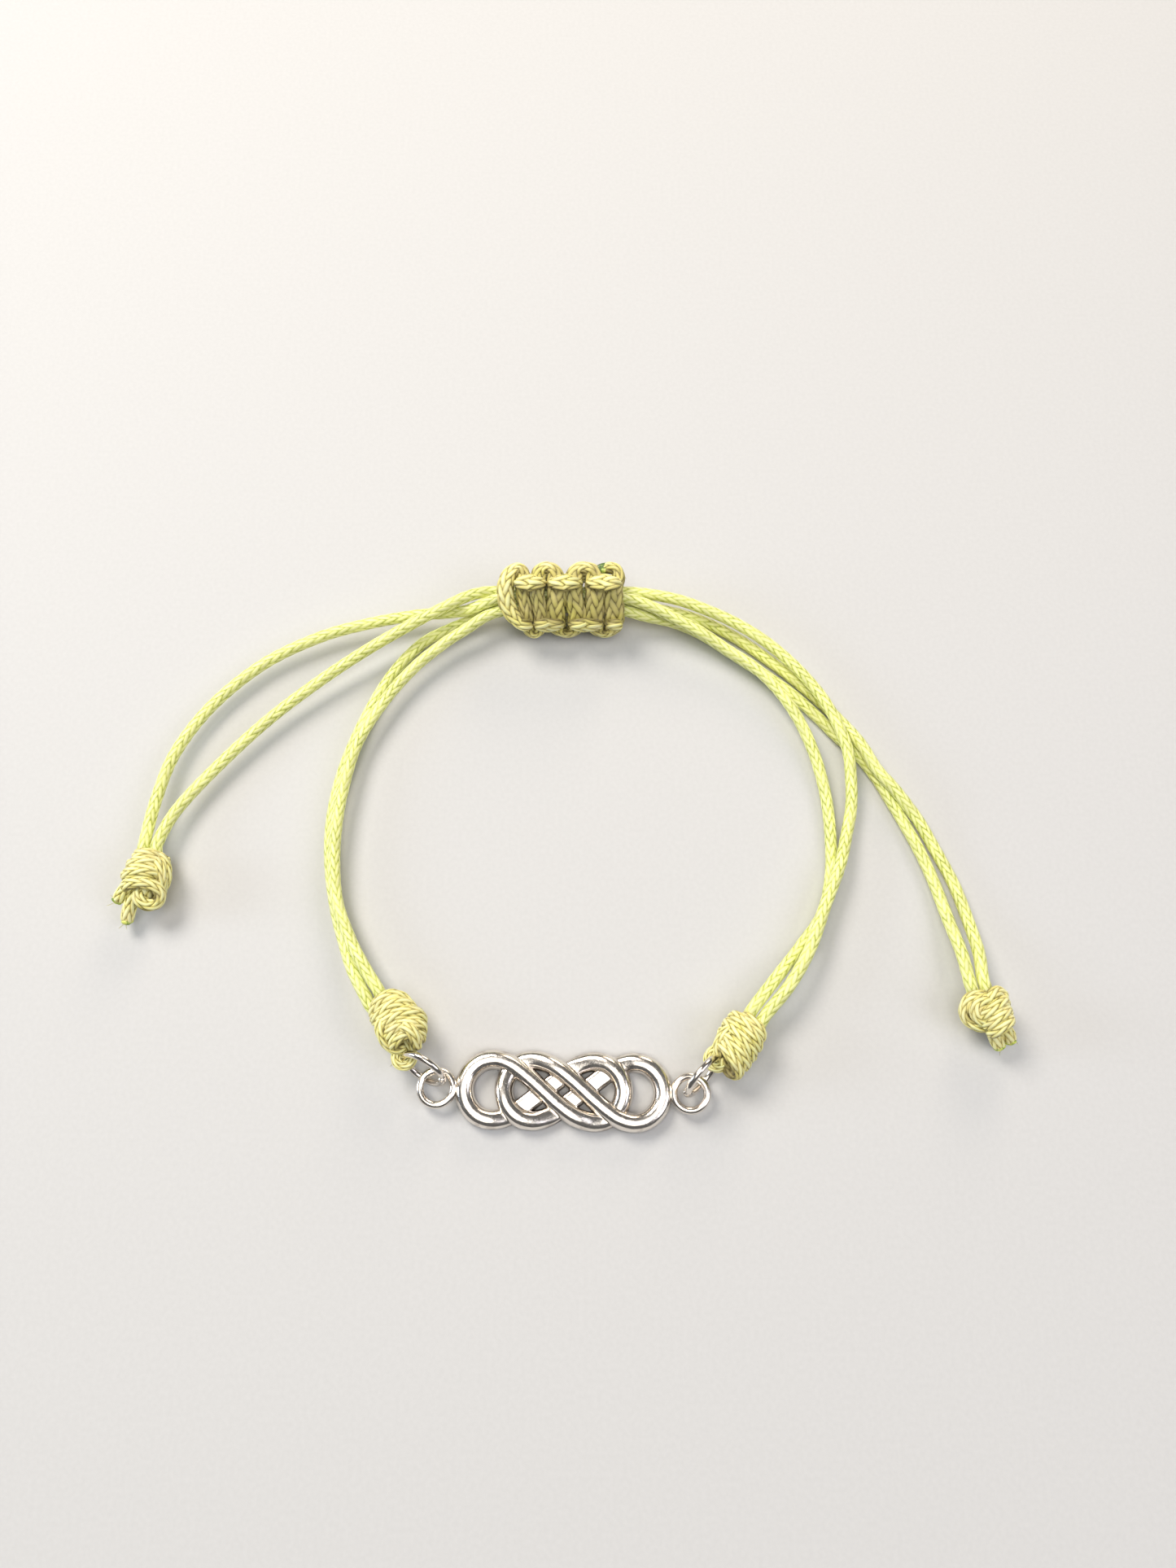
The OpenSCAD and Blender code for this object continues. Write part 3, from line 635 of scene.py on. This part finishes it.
# Height of the tying cord on a bar, and on the float that crosses it
ON_BAR = CORE + 0.75
ON_FLOAT = CORE + 1.6

# The cut end of the tying cord, from its tip to the top of bar 6, columns x, y, z, flattening
CUT_END = [(5.0, 4.05, 0.75, 1.0), (5.8, 4.15, 0.85, 1.0), (6.6, 3.9, 1.0, 1.0), (6.85, 3.1, 1.35, 1.1),
    (6.5, 2.2, 1.8, 1.3), (6.2, 1.1, ON_BAR, BARS[6][2])]

# The first turn, a wide loop over the left end, from the far side of bar 1 to its float
LEFT_LOOP = [(-4.95, 2.2, 1.85, 1.2), (-4.85, 3.4, 1.25, 1.2), (-5.35, 4.1, 1.0, 1.2),
    (-6.1, 3.9, 1.3, 1.3), (-6.75, 3.0, 1.9, 1.4), (-6.95, 1.9, 2.35, 1.45), (-6.9, 0.75, 2.6, 1.45),
    (-6.6, -0.35, 2.65, 1.45), (-6.05, -1.3, 2.75, 1.4), (-5.4, -2.0, 2.95, 1.35),
    (-4.95, -2.3, 3.1, 1.3)]

# How far to each side the plies packed inside the turns lie
PACKED_AT = (-2.55, 2.75)

# The painted shade on the front turns starts at this place along the sliding knot, and is full this much
# further on
FRONT_SHADE_FROM = -6.9
FRONT_SHADE_IN = 1.4


def bar_end(n, s):
    """Where bar n ends along the sliding knot, on side s."""
    return BARS[n][0 if s > 0 else 1]


def front_turn(n, s):
    """The turn of the cord round the edge of the front, from bar n to bar n + 1."""
    p, q = bar_end(n, s), bar_end(n + 1, s)
    k, m = BARS[n][2], BARS[n + 1][2]
    j = (k + m) / 2
    far = s * (3.85 if s > 0 else 3.5)
    out = s * 0.4
    return [(p, s * 1.1, ON_BAR, k), (p + 0.05, s * 2.3, CORE + 0.3, k), (p + 0.3, far, CORE - 0.3, j * 0.9),
        ((p + q) / 2, far + out, CORE - 0.5, j * 0.85), (q - 0.3, far, CORE - 0.3, j * 0.9),
        (q - 0.05, s * 2.3, CORE + 0.3, m), (q, s * 1.1, ON_BAR, m)]


def back_turn(x, s, aside):
    """Up from the back of the bar that ends at x, out round the edge on side s, to its float."""
    return [(x, s * 1.45, -CORE - 0.76, 1.1), (x + 0.6 * aside, s * 2.25, -1.45, 1.0),
        (x + aside, s * (CORE + 0.8), 0.2, 1.0), (x + aside, s * (CORE + 0.9), 1.8, 1.0),
        (x, s * FLOAT_AT[s], ON_FLOAT, 1.2)]


def room(n, s):
    """How far aside a turn between bars n and n + 1 may lie, on side s."""
    return np.clip((bar_end(n + 1, s) - bar_end(n, s) - 1.4) / 2, 0.05, 0.5) if n < 6 else 0.4


def rise(n, s):
    """From the back of bar n up to its float on side s."""
    return back_turn(bar_end(n, s), s, -room(n - 1, s))


def dive(n, s):
    """From its float on side s down to the back of bar n."""
    return back_turn(bar_end(n, s), s, room(n, s))[::-1]


def slider_way():
    """The tying cord of the sliding knot round its own centre, with a flattening for each point."""
    way = list(CUT_END)
    for n in range(5, 0, -1):
        way += front_turn(n, 1 if n % 2 == 0 else -1)[::-1]
    way += LEFT_LOOP + dive(1, -1)
    for n in range(1, 6):
        s = 1 if n % 2 == 1 else -1
        middle = (bar_end(n, s) + bar_end(n + 1, s)) / 2
        way += rise(n, s) + [(middle, s * FLOAT_AT[s], ON_FLOAT + 0.04, 1.6)] + dive(n + 1, s)
    way += rise(6, -1) + [(7.2, -2.35, CORE + 1.3, 1.0)]
    clean = [way[0]]
    for point in way[1:]:
        if math.dist(point[:3], clean[-1][:3]) > 0.05:
            clean.append(point)
    return np.array(clean)


def slider_place(points):
    """From the sliding knot's own frame to the row frame, in millimetres."""
    return turned(points, SLIDE_LEAN, "x") + SLIDE_AT + MIDDLE


# Strands that show on each knot, in its own frame: along its axis, to its side, up
LOOPS = {
    "end_knot_left": [
        [(-2.4, -1.3, 0.2), (-2.5, -1.1, 1.2), (-2.6, -0.1, 1.8), (-2.5, 0.8, 1.4), (-2.2, 1.1, 0.4)],
        [(-1.4, -1.8, 0.1), (-1.4, -1.65, 1.2), (-1.5, -0.6, 2.05), (-1.65, 0.5, 2), (-1.5, 1.3, 1.2),
         (-1.2, 1.3, 0.1)],
        [(-0.2, -2.25, 0), (-0.2, -2.05, 1.1), (-0.4, -0.9, 2.05), (-0.6, 0.4, 2.15), (-0.5, 1.3, 1.5),
         (-0.1, 1.4, 0.3)],
        [(1.3, -2.2, 0.1), (1.05, -1.95, 1), (0.75, -0.9, 1.75), (0.75, 0.3, 1.95), (1, 1.4, 1.6),
         (1.7, 2.1, 0.9), (2.7, 1.8, 0.5), (3.05, 0.8, 0.7), (2.6, -0.1, 1.1), (1.8, -0.35, 0.9),
         (1.2, 0.1, 0.2)],
        [(-2.2, 0.5, 0.8), (-2.45, 1.3, 0.9), (-1.7, 1.95, 0.6), (-0.7, 2.2, 0.3), (0.4, 2, -0.1),
         (1.1, 1.5, -0.7)],
        [(-1.5, 0.6, 1.4), (-1.75, 1.25, 1.5), (-1, 1.75, 1.4), (0, 1.95, 1), (0.8, 1.8, 0.4)]],
    "end_knot_right": [
        [(-1.6, 0.2, 1.4), (-1.95, -1, 1.4), (-1.65, -2, 1.1), (-0.7, -2.52, 0.6), (0.3, -2.35, 0.3),
         (1, -1.6, 0.3), (1.25, -0.6, 0.4), (1.2, 0.3, 0.5)],
        [(-1.1, 0.7, 1.6), (-1.35, -0.4, 2.05), (-1, -1.35, 1.85), (-0.1, -1.65, 1.5), (0.6, -1.1, 1.3),
         (0.8, -0.2, 1.2)],
        [(-0.9, -0.5, 1.8), (-1.55, 0.35, 2), (-1.95, 1.3, 1.5), (-1.5, 2.05, 0.9), (-0.7, 2.1, 0.1),
         (0.1, 1.6, -0.6)],
        [(0.3, -1.2, 1.4), (-0.1, -0.2, 2.2), (-0.6, 0.9, 2.05), (-0.8, 1.8, 1.3), (-0.5, 2.15, 0.3),
         (0.1, 1.9, -0.5)],
        [(1.3, -1, 0.9), (0.95, -0.1, 2), (0.5, 0.9, 2), (0.2, 1.75, 1.3), (0.4, 2.15, 0.3),
         (0.8, 1.8, -0.6)],
        [(2.1, -0.6, 0.5), (2, 0.1, 1.6), (1.6, 1, 1.8), (1.25, 1.8, 1.2), (1.3, 2.1, 0.2),
         (1.7, 1.7, -0.6)]],
    "ring_knot_left": [
        [(-1.9, -1.9, 0.3), (-2.35, -1.4, 1.3), (-2.7, -0.3, 2), (-2.6, 0.8, 1.8), (-2, 1.6, 1.2),
         (-1.1, 1.95, 0.5), (-0.2, 1.8, -0.3)],
        [(-1.4, -2, -0.1), (-1.3, -1.9, 1), (-1.4, -0.9, 1.95), (-1.6, 0.2, 2.25), (-1.4, 1.3, 1.8),
         (-0.6, 2, 1), (0.2, 2, 0)],
        [(-0.2, -1.9, -0.1), (-0.2, -1.75, 1.1), (-0.3, -0.8, 2), (-0.4, 0.3, 2.25), (-0.1, 1.5, 2),
         (0.5, 2.4, 1.2), (1.2, 2.4, 0.2), (1.4, 1.8, -0.6)],
        [(1, -1.9, 0), (0.9, -1.8, 1.1), (0.8, -0.8, 1.9), (0.7, 0.3, 2.1), (1.1, 1.4, 1.9),
         (1.8, 2.1, 1.1), (2.2, 1.8, 0.1), (2.2, 1.2, -0.8)],
        [(2.1, -1.6, 0), (2, -1.5, 1), (1.8, -0.7, 1.7), (1.8, 0.3, 1.9), (2.2, 1.2, 1.6), (2.8, 1.5, 0.8),
         (2.8, 1, 0)],
        [(-0.9, -0.9, 1.6), (-0.2, -1.75, 1.7), (0.9, -2.1, 1.2), (1.9, -2, 0.7), (2.7, -1.4, 0.3),
         (3, -0.5, 0.2)],
        [(0.8, 0.2, 1.8), (1.5, 0.8, 2.3), (2.5, 1, 2), (3.2, 0.8, 1.2), (3.4, 0.6, 0.3)]],
    "ring_knot_right": [
        [(-2, -1, 0.6), (-2.2, -0.6, 1.6), (-2.1, 0.4, 1.95), (-1.85, 1.4, 1.5), (-1.5, 1.85, 0.6),
         (-1.3, 1.6, -0.5)],
        [(-1.8, -1.8, 0.2), (-1.75, -1.5, 1.3), (-1.45, -0.4, 2.1), (-1.05, 0.9, 2), (-0.7, 1.8, 1.2),
         (-0.4, 2.05, 0.1), (-0.4, 1.6, -0.9)],
        [(-0.8, -1.95, 0.2), (-0.65, -1.75, 1.3), (-0.3, -0.7, 2.15), (0.1, 0.5, 2.2), (0.5, 1.6, 1.5),
         (0.8, 2.1, 0.4), (0.8, 1.7, -0.7)],
        [(0.3, -1.9, 0.1), (0.5, -1.6, 1.3), (0.9, -0.6, 1.95), (1.3, 0.6, 2.05), (1.7, 1.6, 1.4),
         (2, 2, 0.3), (1.9, 1.5, -0.8)],
        [(1.3, -1.6, 0.2), (1.5, -1.3, 1.2), (1.9, -0.4, 1.7), (2.4, 0.7, 1.7), (2.9, 1.6, 1),
         (3.3, 1.7, 0.2), (3.4, 0.9, -0.1), (3.1, 0, 0), (2.5, -0.5, 0.2)],
        [(-0.6, -1.2, 1.7), (0.2, -1.6, 1.6), (1.2, -1.7, 1.1), (2.1, -1.4, 0.6), (2.7, -0.8, 0.3)]]}

# Plain turns under each knot: the first one's place, their pitch, their reach to the side and down,
# how much slimmer they are at the ends, and their angles
UNDER_FIRST = 0.75
UNDER_PITCH = 1.15
UNDER_WIDE = 1.75
UNDER_DEEP = 1.95
UNDER_SLIM = 0.15
UNDER_ARC = np.radians(np.linspace(178, 362, 40))

# A strand that ends past END_SIDE and below END_LOW runs on under the knot, in and down
END_SIDE = 1.4
END_LOW = 0.5
TUCK_IN = 0.75
TUCK_DOWN = 1.1


def tucked(point):
    """Where a strand that ends low at the side runs on under the knot."""
    x, beside, up = point
    hidden = abs(beside) > END_SIDE and up < END_LOW
    return [(x, TUCK_IN * beside, up - TUCK_DOWN)] if hidden else []


def knot_ways(name):
    """The strands of a knot in its own frame: those that show, and plain turns under them."""
    half, stop = KNOTS[name][2], KNOTS[name][4]
    ways = [smooth_way(tucked(loop[0]) + loop + tucked(loop[-1]), 10) for loop in LOOPS[name]]
    for x in np.arange(UNDER_FIRST - half, half - stop, UNDER_PITCH):
        slim = 1 - UNDER_SLIM * (x / half) ** 2
        ways.append(np.stack([x + 0 * UNDER_ARC, UNDER_WIDE * slim * np.cos(UNDER_ARC),
            UNDER_DEEP * slim * np.sin(UNDER_ARC)], axis=1))
    return ways


def hairs(name):
    """Loose filaments that stick out of the braid at a knot, 0.06 mm thick so that they show."""
    skins = []
    for start, direction, length in HAIRS.get(name, []):
        s = start + MIDDLE
        d = length * unit(np.array(direction))
        sag = 0.25 * np.array([d[1], -d[0], -0.5 * length])
        way = even(smooth_way([s, s + 0.5 * d + 0.25 * sag, s + d + sag], 6), KNOT_STEP)
        skins.append(cord_skin(way, HAIR_RADIUS, 0.0, 1.0, 4, 6, taper=(1.0, 0.3)))
    return skins


def bead(centre, direction, radius, longer, seed):
    """A melted tip: a lumpy bead, longer times as long as it is wide, small enough at its poles for
    its caps not to show."""
    d = unit(direction)
    u = unit(np.cross(d, TIP_ASKEW))
    v = np.cross(d, u)
    rings, sides, pole, lumpy = 15, 24, 0.06, 0.06
    polar = np.linspace(pole, math.pi - pole, rings)[:, None]
    angle = 2 * math.pi * np.arange(sides) / sides
    lumps = np.random.default_rng(seed).normal(0, 1, (4, 2)) * lumpy
    lump = 1 + sum(a * np.cos((k + 2) * angle + 3 * polar) + b * np.sin((k + 1) * angle - 2 * polar)
        for k, (a, b) in enumerate(lumps))
    reach = (radius * lump * np.sin(polar))[..., None]
    points = centre - (longer * radius * np.cos(polar))[..., None] * d \
        + reach * (np.cos(angle)[:, None] * u + np.sin(angle)[:, None] * v)
    return points.reshape(-1, 3), tube_faces(rings, sides)


def ring_sizes():
    """Half the wire of a jump ring and the radius of its middle line, in millimetres."""
    metal = bpy.context.scene.silver_sizes
    return metal.wire / MM / 2, (metal.ring - metal.wire) / MM / 2


def bight(name):
    """The bight of cord that holds a jump ring, and the ply inside it, in the row frame."""
    at, plan = RINGS["jump_" + name.replace("_knot", "")][:2]
    wire, reach = ring_sizes()
    centre = np.array(KNOTS[name][0])
    e = at - reach * np.array([*plan, 0])
    k = unit((centre - e) * (1, 1, 0))
    q = np.array([k[1], -k[0], 0])
    b = BIGHT + wire + WIRE_GAP
    c = centre - 1.3 * k
    arms = [[c + 0.45 * w, e + 0.75 * k + 0.8 * b * w, e + b * w, e + b * (0.87 * w - 0.5 * k),
        e + b * (0.5 * w - 0.87 * k)] for w in (q, -q)]
    ways = [arms[0] + [e - b * k] + arms[1][::-1], [c, e + 1.9 * k, e + (b + WIRE_GAP) * k]]
    return [smooth_way(way + MIDDLE, 6) for way in ways]


def charm_profile(high, flat):
    """Outline across a strand of the charm: a round or a flat back on a flat foot."""
    angle = math.pi * np.arange(25) / 24
    c, s = np.cos(angle), np.sin(angle)
    back = sum(share * np.stack([-half * np.sign(c) * np.abs(c) ** side, 0.3 + 0.7 * s ** top], axis=1)
        for share, (half, side, top) in ((1 - flat, ROUND_BACK), (flat, FLAT_BACK)))
    foot = [(0.5, 0.08), (0.46, 0.0), (-0.46, 0.0), (-0.5, 0.08)]
    return np.vstack([back, foot]) * (CHARM_WIDE, high)


def charm_strands():
    """Points and faces of both infinities, in the charm's own frame."""
    table = np.array(INFINITY, dtype=float)
    dense = between(np.vstack([table[-1:], table, table[:2]]), 8)
    ahead = unit(np.roll(dense, -1, axis=0)[:, :2] - np.roll(dense, 1, axis=0)[:, :2])
    rings = []
    for (x, y, high, flat), (dx, dy) in zip(dense, ahead):
        across, up = charm_profile(max(high, BAR_HIGH), np.clip(flat, 0, 1)).T
        rings.append(np.stack([x - across * dy - INFINITY_SHIFT, y + across * dx, up], axis=1))
    faces = closed_faces(len(rings), len(rings[0]))
    return [(np.vstack(rings) * (spin, spin, 1), faces) for spin in (1, -1)]


def bent_wire(angles, reach, wire, sides, slip=0.0):
    """Points of a round wire bent in a circle that lies flat, one ring of them for each angle."""
    a = angles[:, None]
    b = 2 * math.pi * np.arange(sides) / sides
    r = reach + wire * np.cos(b)
    return np.stack([r * np.cos(a), r * np.sin(a), wire * np.sin(b) + slip + 0 * a], axis=-1).reshape(-1, 3)


# Operators, one for the stage and one for each piece or group of like pieces

class BRACELET_OT_stage(bpy.types.Operator):
    """Make the floor, the lights and the camera"""
    bl_idname = "bracelet.stage"
    bl_label = "Stage"

    def execute(self, context):
        scene = context.scene
        lens = bpy.data.cameras.new("view")
        lens.sensor_fit = "HORIZONTAL"
        lens.sensor_width = 36
        lens.lens = scene.stage_sizes.lens
        lens.clip_start = 0.005
        camera = bpy.data.objects.new("view", lens)
        camera.location = CAMERA_AT
        camera.rotation_euler = (CAMERA_TILT, 0, 0)
        scene.collection.objects.link(camera)
        scene.camera = camera
        board = bpy.data.meshes.new("floor")
        corners = [(x * FLOOR_HALF, y * FLOOR_HALF, 0) for x, y in ((-1, -1), (1, -1), (1, 1), (-1, 1))]
        board.from_pydata(corners, [], [(0, 1, 2, 3)])
        board.materials.append(finish_of("matt_board"))
        floor = bpy.data.objects.new("floor", board)
        floor.location = (0, 0, -FLOOR_DOWN)
        scene.collection.objects.link(floor)
        for name, place, width, power, colour in LAMPS:
            lamp = bpy.data.lights.new(name, "AREA")
            lamp.shape = "DISK"
            lamp.size = width
            lamp.energy = power
            lamp.color = linear(colour)
            light = bpy.data.objects.new(name, lamp)
            light.location = place
            x, y, z = place
            light.rotation_euler = (math.acos(z / math.hypot(x, y, z)), 0, math.atan2(y, x) + math.pi / 2)
            scene.collection.objects.link(light)
        world = bpy.data.worlds.new("room")
        world.use_nodes = True
        room_light = world.node_tree.nodes["Background"].inputs
        room_light["Color"].default_value = (*linear("D9DADD"), 1)
        room_light["Strength"].default_value = 0.16
        scene.world = world
        # Colours as a plain camera gives them, so that the dyed yarn keeps its strength
        scene.view_settings.view_transform = "Standard"
        return {"FINISHED"}


class BRACELET_OT_cords(bpy.types.Operator):
    """Make the four cords of the band and the four tails as braided tubes"""
    bl_idname = "bracelet.cords"
    bl_label = "Cords"

    def execute(self, context):
        sizes = context.scene.cord_sizes
        for index, (node, route, knot, side, _) in enumerate(CORDS):
            skin = cord_skin(cord_way(route, knot, side), sizes.thickness / MM / 2, sizes.relief / MM,
                sizes.cell / MM, sizes.carriers, sizes.sides, start_turn=0.13 * index)
            mesh_piece(node + "_braid", skin, "waxed_braided_polyester", node)
        return {"FINISHED"}


class BRACELET_OT_sliding_knot(bpy.types.Operator):
    """Make the sliding knot, a row of square knots tied with one cord"""
    bl_idname = "bracelet.sliding_knot"
    bl_label = "Sliding knot"

    def execute(self, context):
        radius = context.scene.cord_sizes.thickness / MM / 2
        way = even(smooth_way(slider_way()), KNOT_STEP)
        own, wide = way[:, :3], way[:, 3]
        outward = turned(own * (0, 1, 1), SLIDE_LEAN, "x")
        # A turn stretched wide is thinner by a part of that
        thin = 1 - 0.28 * (wide - 1)
        # Painted shade: the turns across the front are painted darker than the floats, edges and left loop
        across = unit(np.gradient(own, axis=0))[:, 1] ** 2
        slack = 1 - 0.6 * across * np.clip((own[:, 0] - FRONT_SHADE_FROM) / FRONT_SHADE_IN, 0, 1)
        skins = [knot_skin(slider_place(own), radius, outward, wide, thin, taper=(0.4, 0.4), slack=slack)]
        # Plies packed inside the turns, that show as shade between them
        for y in PACKED_AT:
            ply = slider_place(even([(-5.0, y, 0.2), (0, y, 0.15), (4.9, y, 0.2)], 0.3))
            skins.append(knot_skin(ply, PACKED, taper=(0.4, 0.4)))
        mesh_piece("sliding_knot_braid", joined(skins + hairs("sliding_knot")),
            "knotted_braided_polyester", "sliding_knot")
        start, step = slider_place(own[[0, 3]])
        tip = bead(start, start - step, radius=0.68, longer=1.9, seed=5)
        mesh_piece("sliding_knot_melted_tip", tip, "scorched_polyester")
        return {"FINISHED"}


class BRACELET_OT_knots(bpy.types.Operator):
    """Make the two knots that hold the jump rings and the two end knots with their cut ends"""
    bl_idname = "bracelet.knots"
    bl_label = "Knots"

    def execute(self, context):
        radius = context.scene.cord_sizes.thickness / MM / 2
        share, wide, thin = STRAND
        for name, (_, _, half, _, _) in KNOTS.items():
            core = even(knot_place(name, np.array([[0.9 - half, 0, 0], [half - 0.7, 0, 0]])), CORD_STEP)
            skins = [knot_skin(core, KNOT_CORE, taper=(0.5, 0.5))]
            for index, way in enumerate(knot_ways(name)):
                placed = knot_place(name, way)
                placed[:, 2] = np.maximum(placed[:, 2], radius + TABLE_GAP)
                outward = way * (0, 1, 1) @ knot_axes(name)
                run = even(np.hstack([placed, outward]), KNOT_STEP)
                skins.append(knot_skin(run[:, :3], share * radius, run[:, 3:], wide, thin,
                    start_turn=0.17 * index, taper=(0.6, 0.6)))
            if name in TIPS:
                beads = []
                for index, tip in enumerate(np.array(TIPS[name]) + MIDDLE):
                    skins.append(knot_skin(even(smooth_way(tip), KNOT_STEP), STUB, taper=(1.0, 0.8)))
                    beads.append(bead(tip[-1], tip[-1] - tip[-2], radius=0.66, longer=0.7, seed=11 + index))
                mesh_piece(name + "_melted_tips", joined(beads), "melted_polyester")
            else:
                skins += [knot_skin(even(way, KNOT_STEP), BIGHT, taper=(0.6, 0.6)) for way in bight(name)]
            mesh_piece(name + "_braid", joined(skins + hairs(name)), "knotted_braided_polyester",
                name)
        return {"FINISHED"}


class BRACELET_OT_charm(bpy.types.Operator):
    """Make the cast charm of two interlaced infinities with a loop at each end"""
    bl_idname = "bracelet.charm"
    bl_label = "Charm"

    def execute(self, context):
        rings, sides = 96, 28
        loop = bent_wire(2 * math.pi * np.arange(rings) / rings, LOOP_R, LOOP_WIRE / 2, sides)
        points, faces = joined(charm_strands() + [(loop + (x, 0, LOOP_Z), closed_faces(rings, sides))
            for x in (-LOOP_X, LOOP_X)])
        # Tarnish stays near the foot, and the top is rubbed bare of it
        lit_and_untarnished = np.clip(points[:, 2] / TARNISH_TO, 0, 1)
        placed = turned(points, CHARM_TURN, "z") + CHARM_AT + MIDDLE
        mesh_piece("charm_cast", (placed, faces, lit_and_untarnished), "cast_silver_plate", "charm")
        return {"FINISHED"}


class BRACELET_OT_jump_rings(bpy.types.Operator):
    """Make the two jump rings of bent wire with their closed splits"""
    bl_idname = "bracelet.jump_rings"
    bl_label = "Jump rings"

    def execute(self, context):
        wire, reach = ring_sizes()
        rings, sides = 120, 32
        gap = SPLIT_GAP / reach
        # The cut ends are dressed a little thinner, and stand a little out of line
        thick = np.full((rings, 1), wire)
        thick[[0, -1]] *= SPLIT_THIN
        slip = SPLIT_SLIP * np.linspace(-1, 1, rings)[:, None] ** 9
        for name, (centre, plan, lean, split) in RINGS.items():
            angles = math.radians(split) + gap / 2 + (2 * math.pi - gap) * np.linspace(0, 1, rings)
            upright = turned(bent_wire(angles, reach, thick, sides, slip), math.radians(90 - lean), "x")
            own = turned(upright, math.atan2(plan[1], plan[0]), "z") + centre + MIDDLE
            mesh_piece(name + "_wire", (own, tube_faces(rings, sides), np.full(len(own), 0.8)),
                "drawn_silver_wire", name)
        return {"FINISHED"}


class BRACELET_OT_lay_cords(bpy.types.Operator):
    """An empty step: it does nothing"""
    bl_idname = "bracelet.lay_cords"
    bl_label = "Declare cords"

    def execute(self, context):
        return {"FINISHED"}


class BRACELET_PT_pieces(bpy.types.Panel):
    """The pieces of the bracelet"""
    bl_label = "Bracelet"
    bl_idname = "BRACELET_PT_pieces"
    bl_space_type = "VIEW_3D"
    bl_region_type = "UI"
    bl_category = "Bracelet"

    def draw(self, context):
        for operator in OPERATORS:
            self.layout.operator(operator.bl_idname)
        for sizes, group in GROUPS:
            box = self.layout.box()
            for name in group.__annotations__:
                box.prop(getattr(context.scene, sizes), name)


OPERATORS = (BRACELET_OT_stage, BRACELET_OT_cords, BRACELET_OT_sliding_knot, BRACELET_OT_knots,
    BRACELET_OT_charm, BRACELET_OT_jump_rings, BRACELET_OT_lay_cords)
GROUPS = (("cord_sizes", CordSizes), ("knot_sizes", KnotSizes), ("silver_sizes", SilverSizes),
    ("stage_sizes", StageSizes))


def register():
    for name, group in GROUPS:
        bpy.utils.register_class(group)
        setattr(bpy.types.Scene, name, bpy.props.PointerProperty(type=group))
    for made in OPERATORS + (BRACELET_PT_pieces,):
        bpy.utils.register_class(made)


def unregister():
    for made in (BRACELET_PT_pieces,) + OPERATORS[::-1]:
        bpy.utils.unregister_class(made)
    for name, group in GROUPS[::-1]:
        delattr(bpy.types.Scene, name)
        bpy.utils.unregister_class(group)


def main():
    register()
    bpy.ops.bracelet.stage()
    bpy.ops.bracelet.cords()
    bpy.ops.bracelet.sliding_knot()
    bpy.ops.bracelet.knots()
    bpy.ops.bracelet.charm()
    bpy.ops.bracelet.jump_rings()
    bpy.ops.bracelet.lay_cords()


if __name__ == "__main__":
    main()
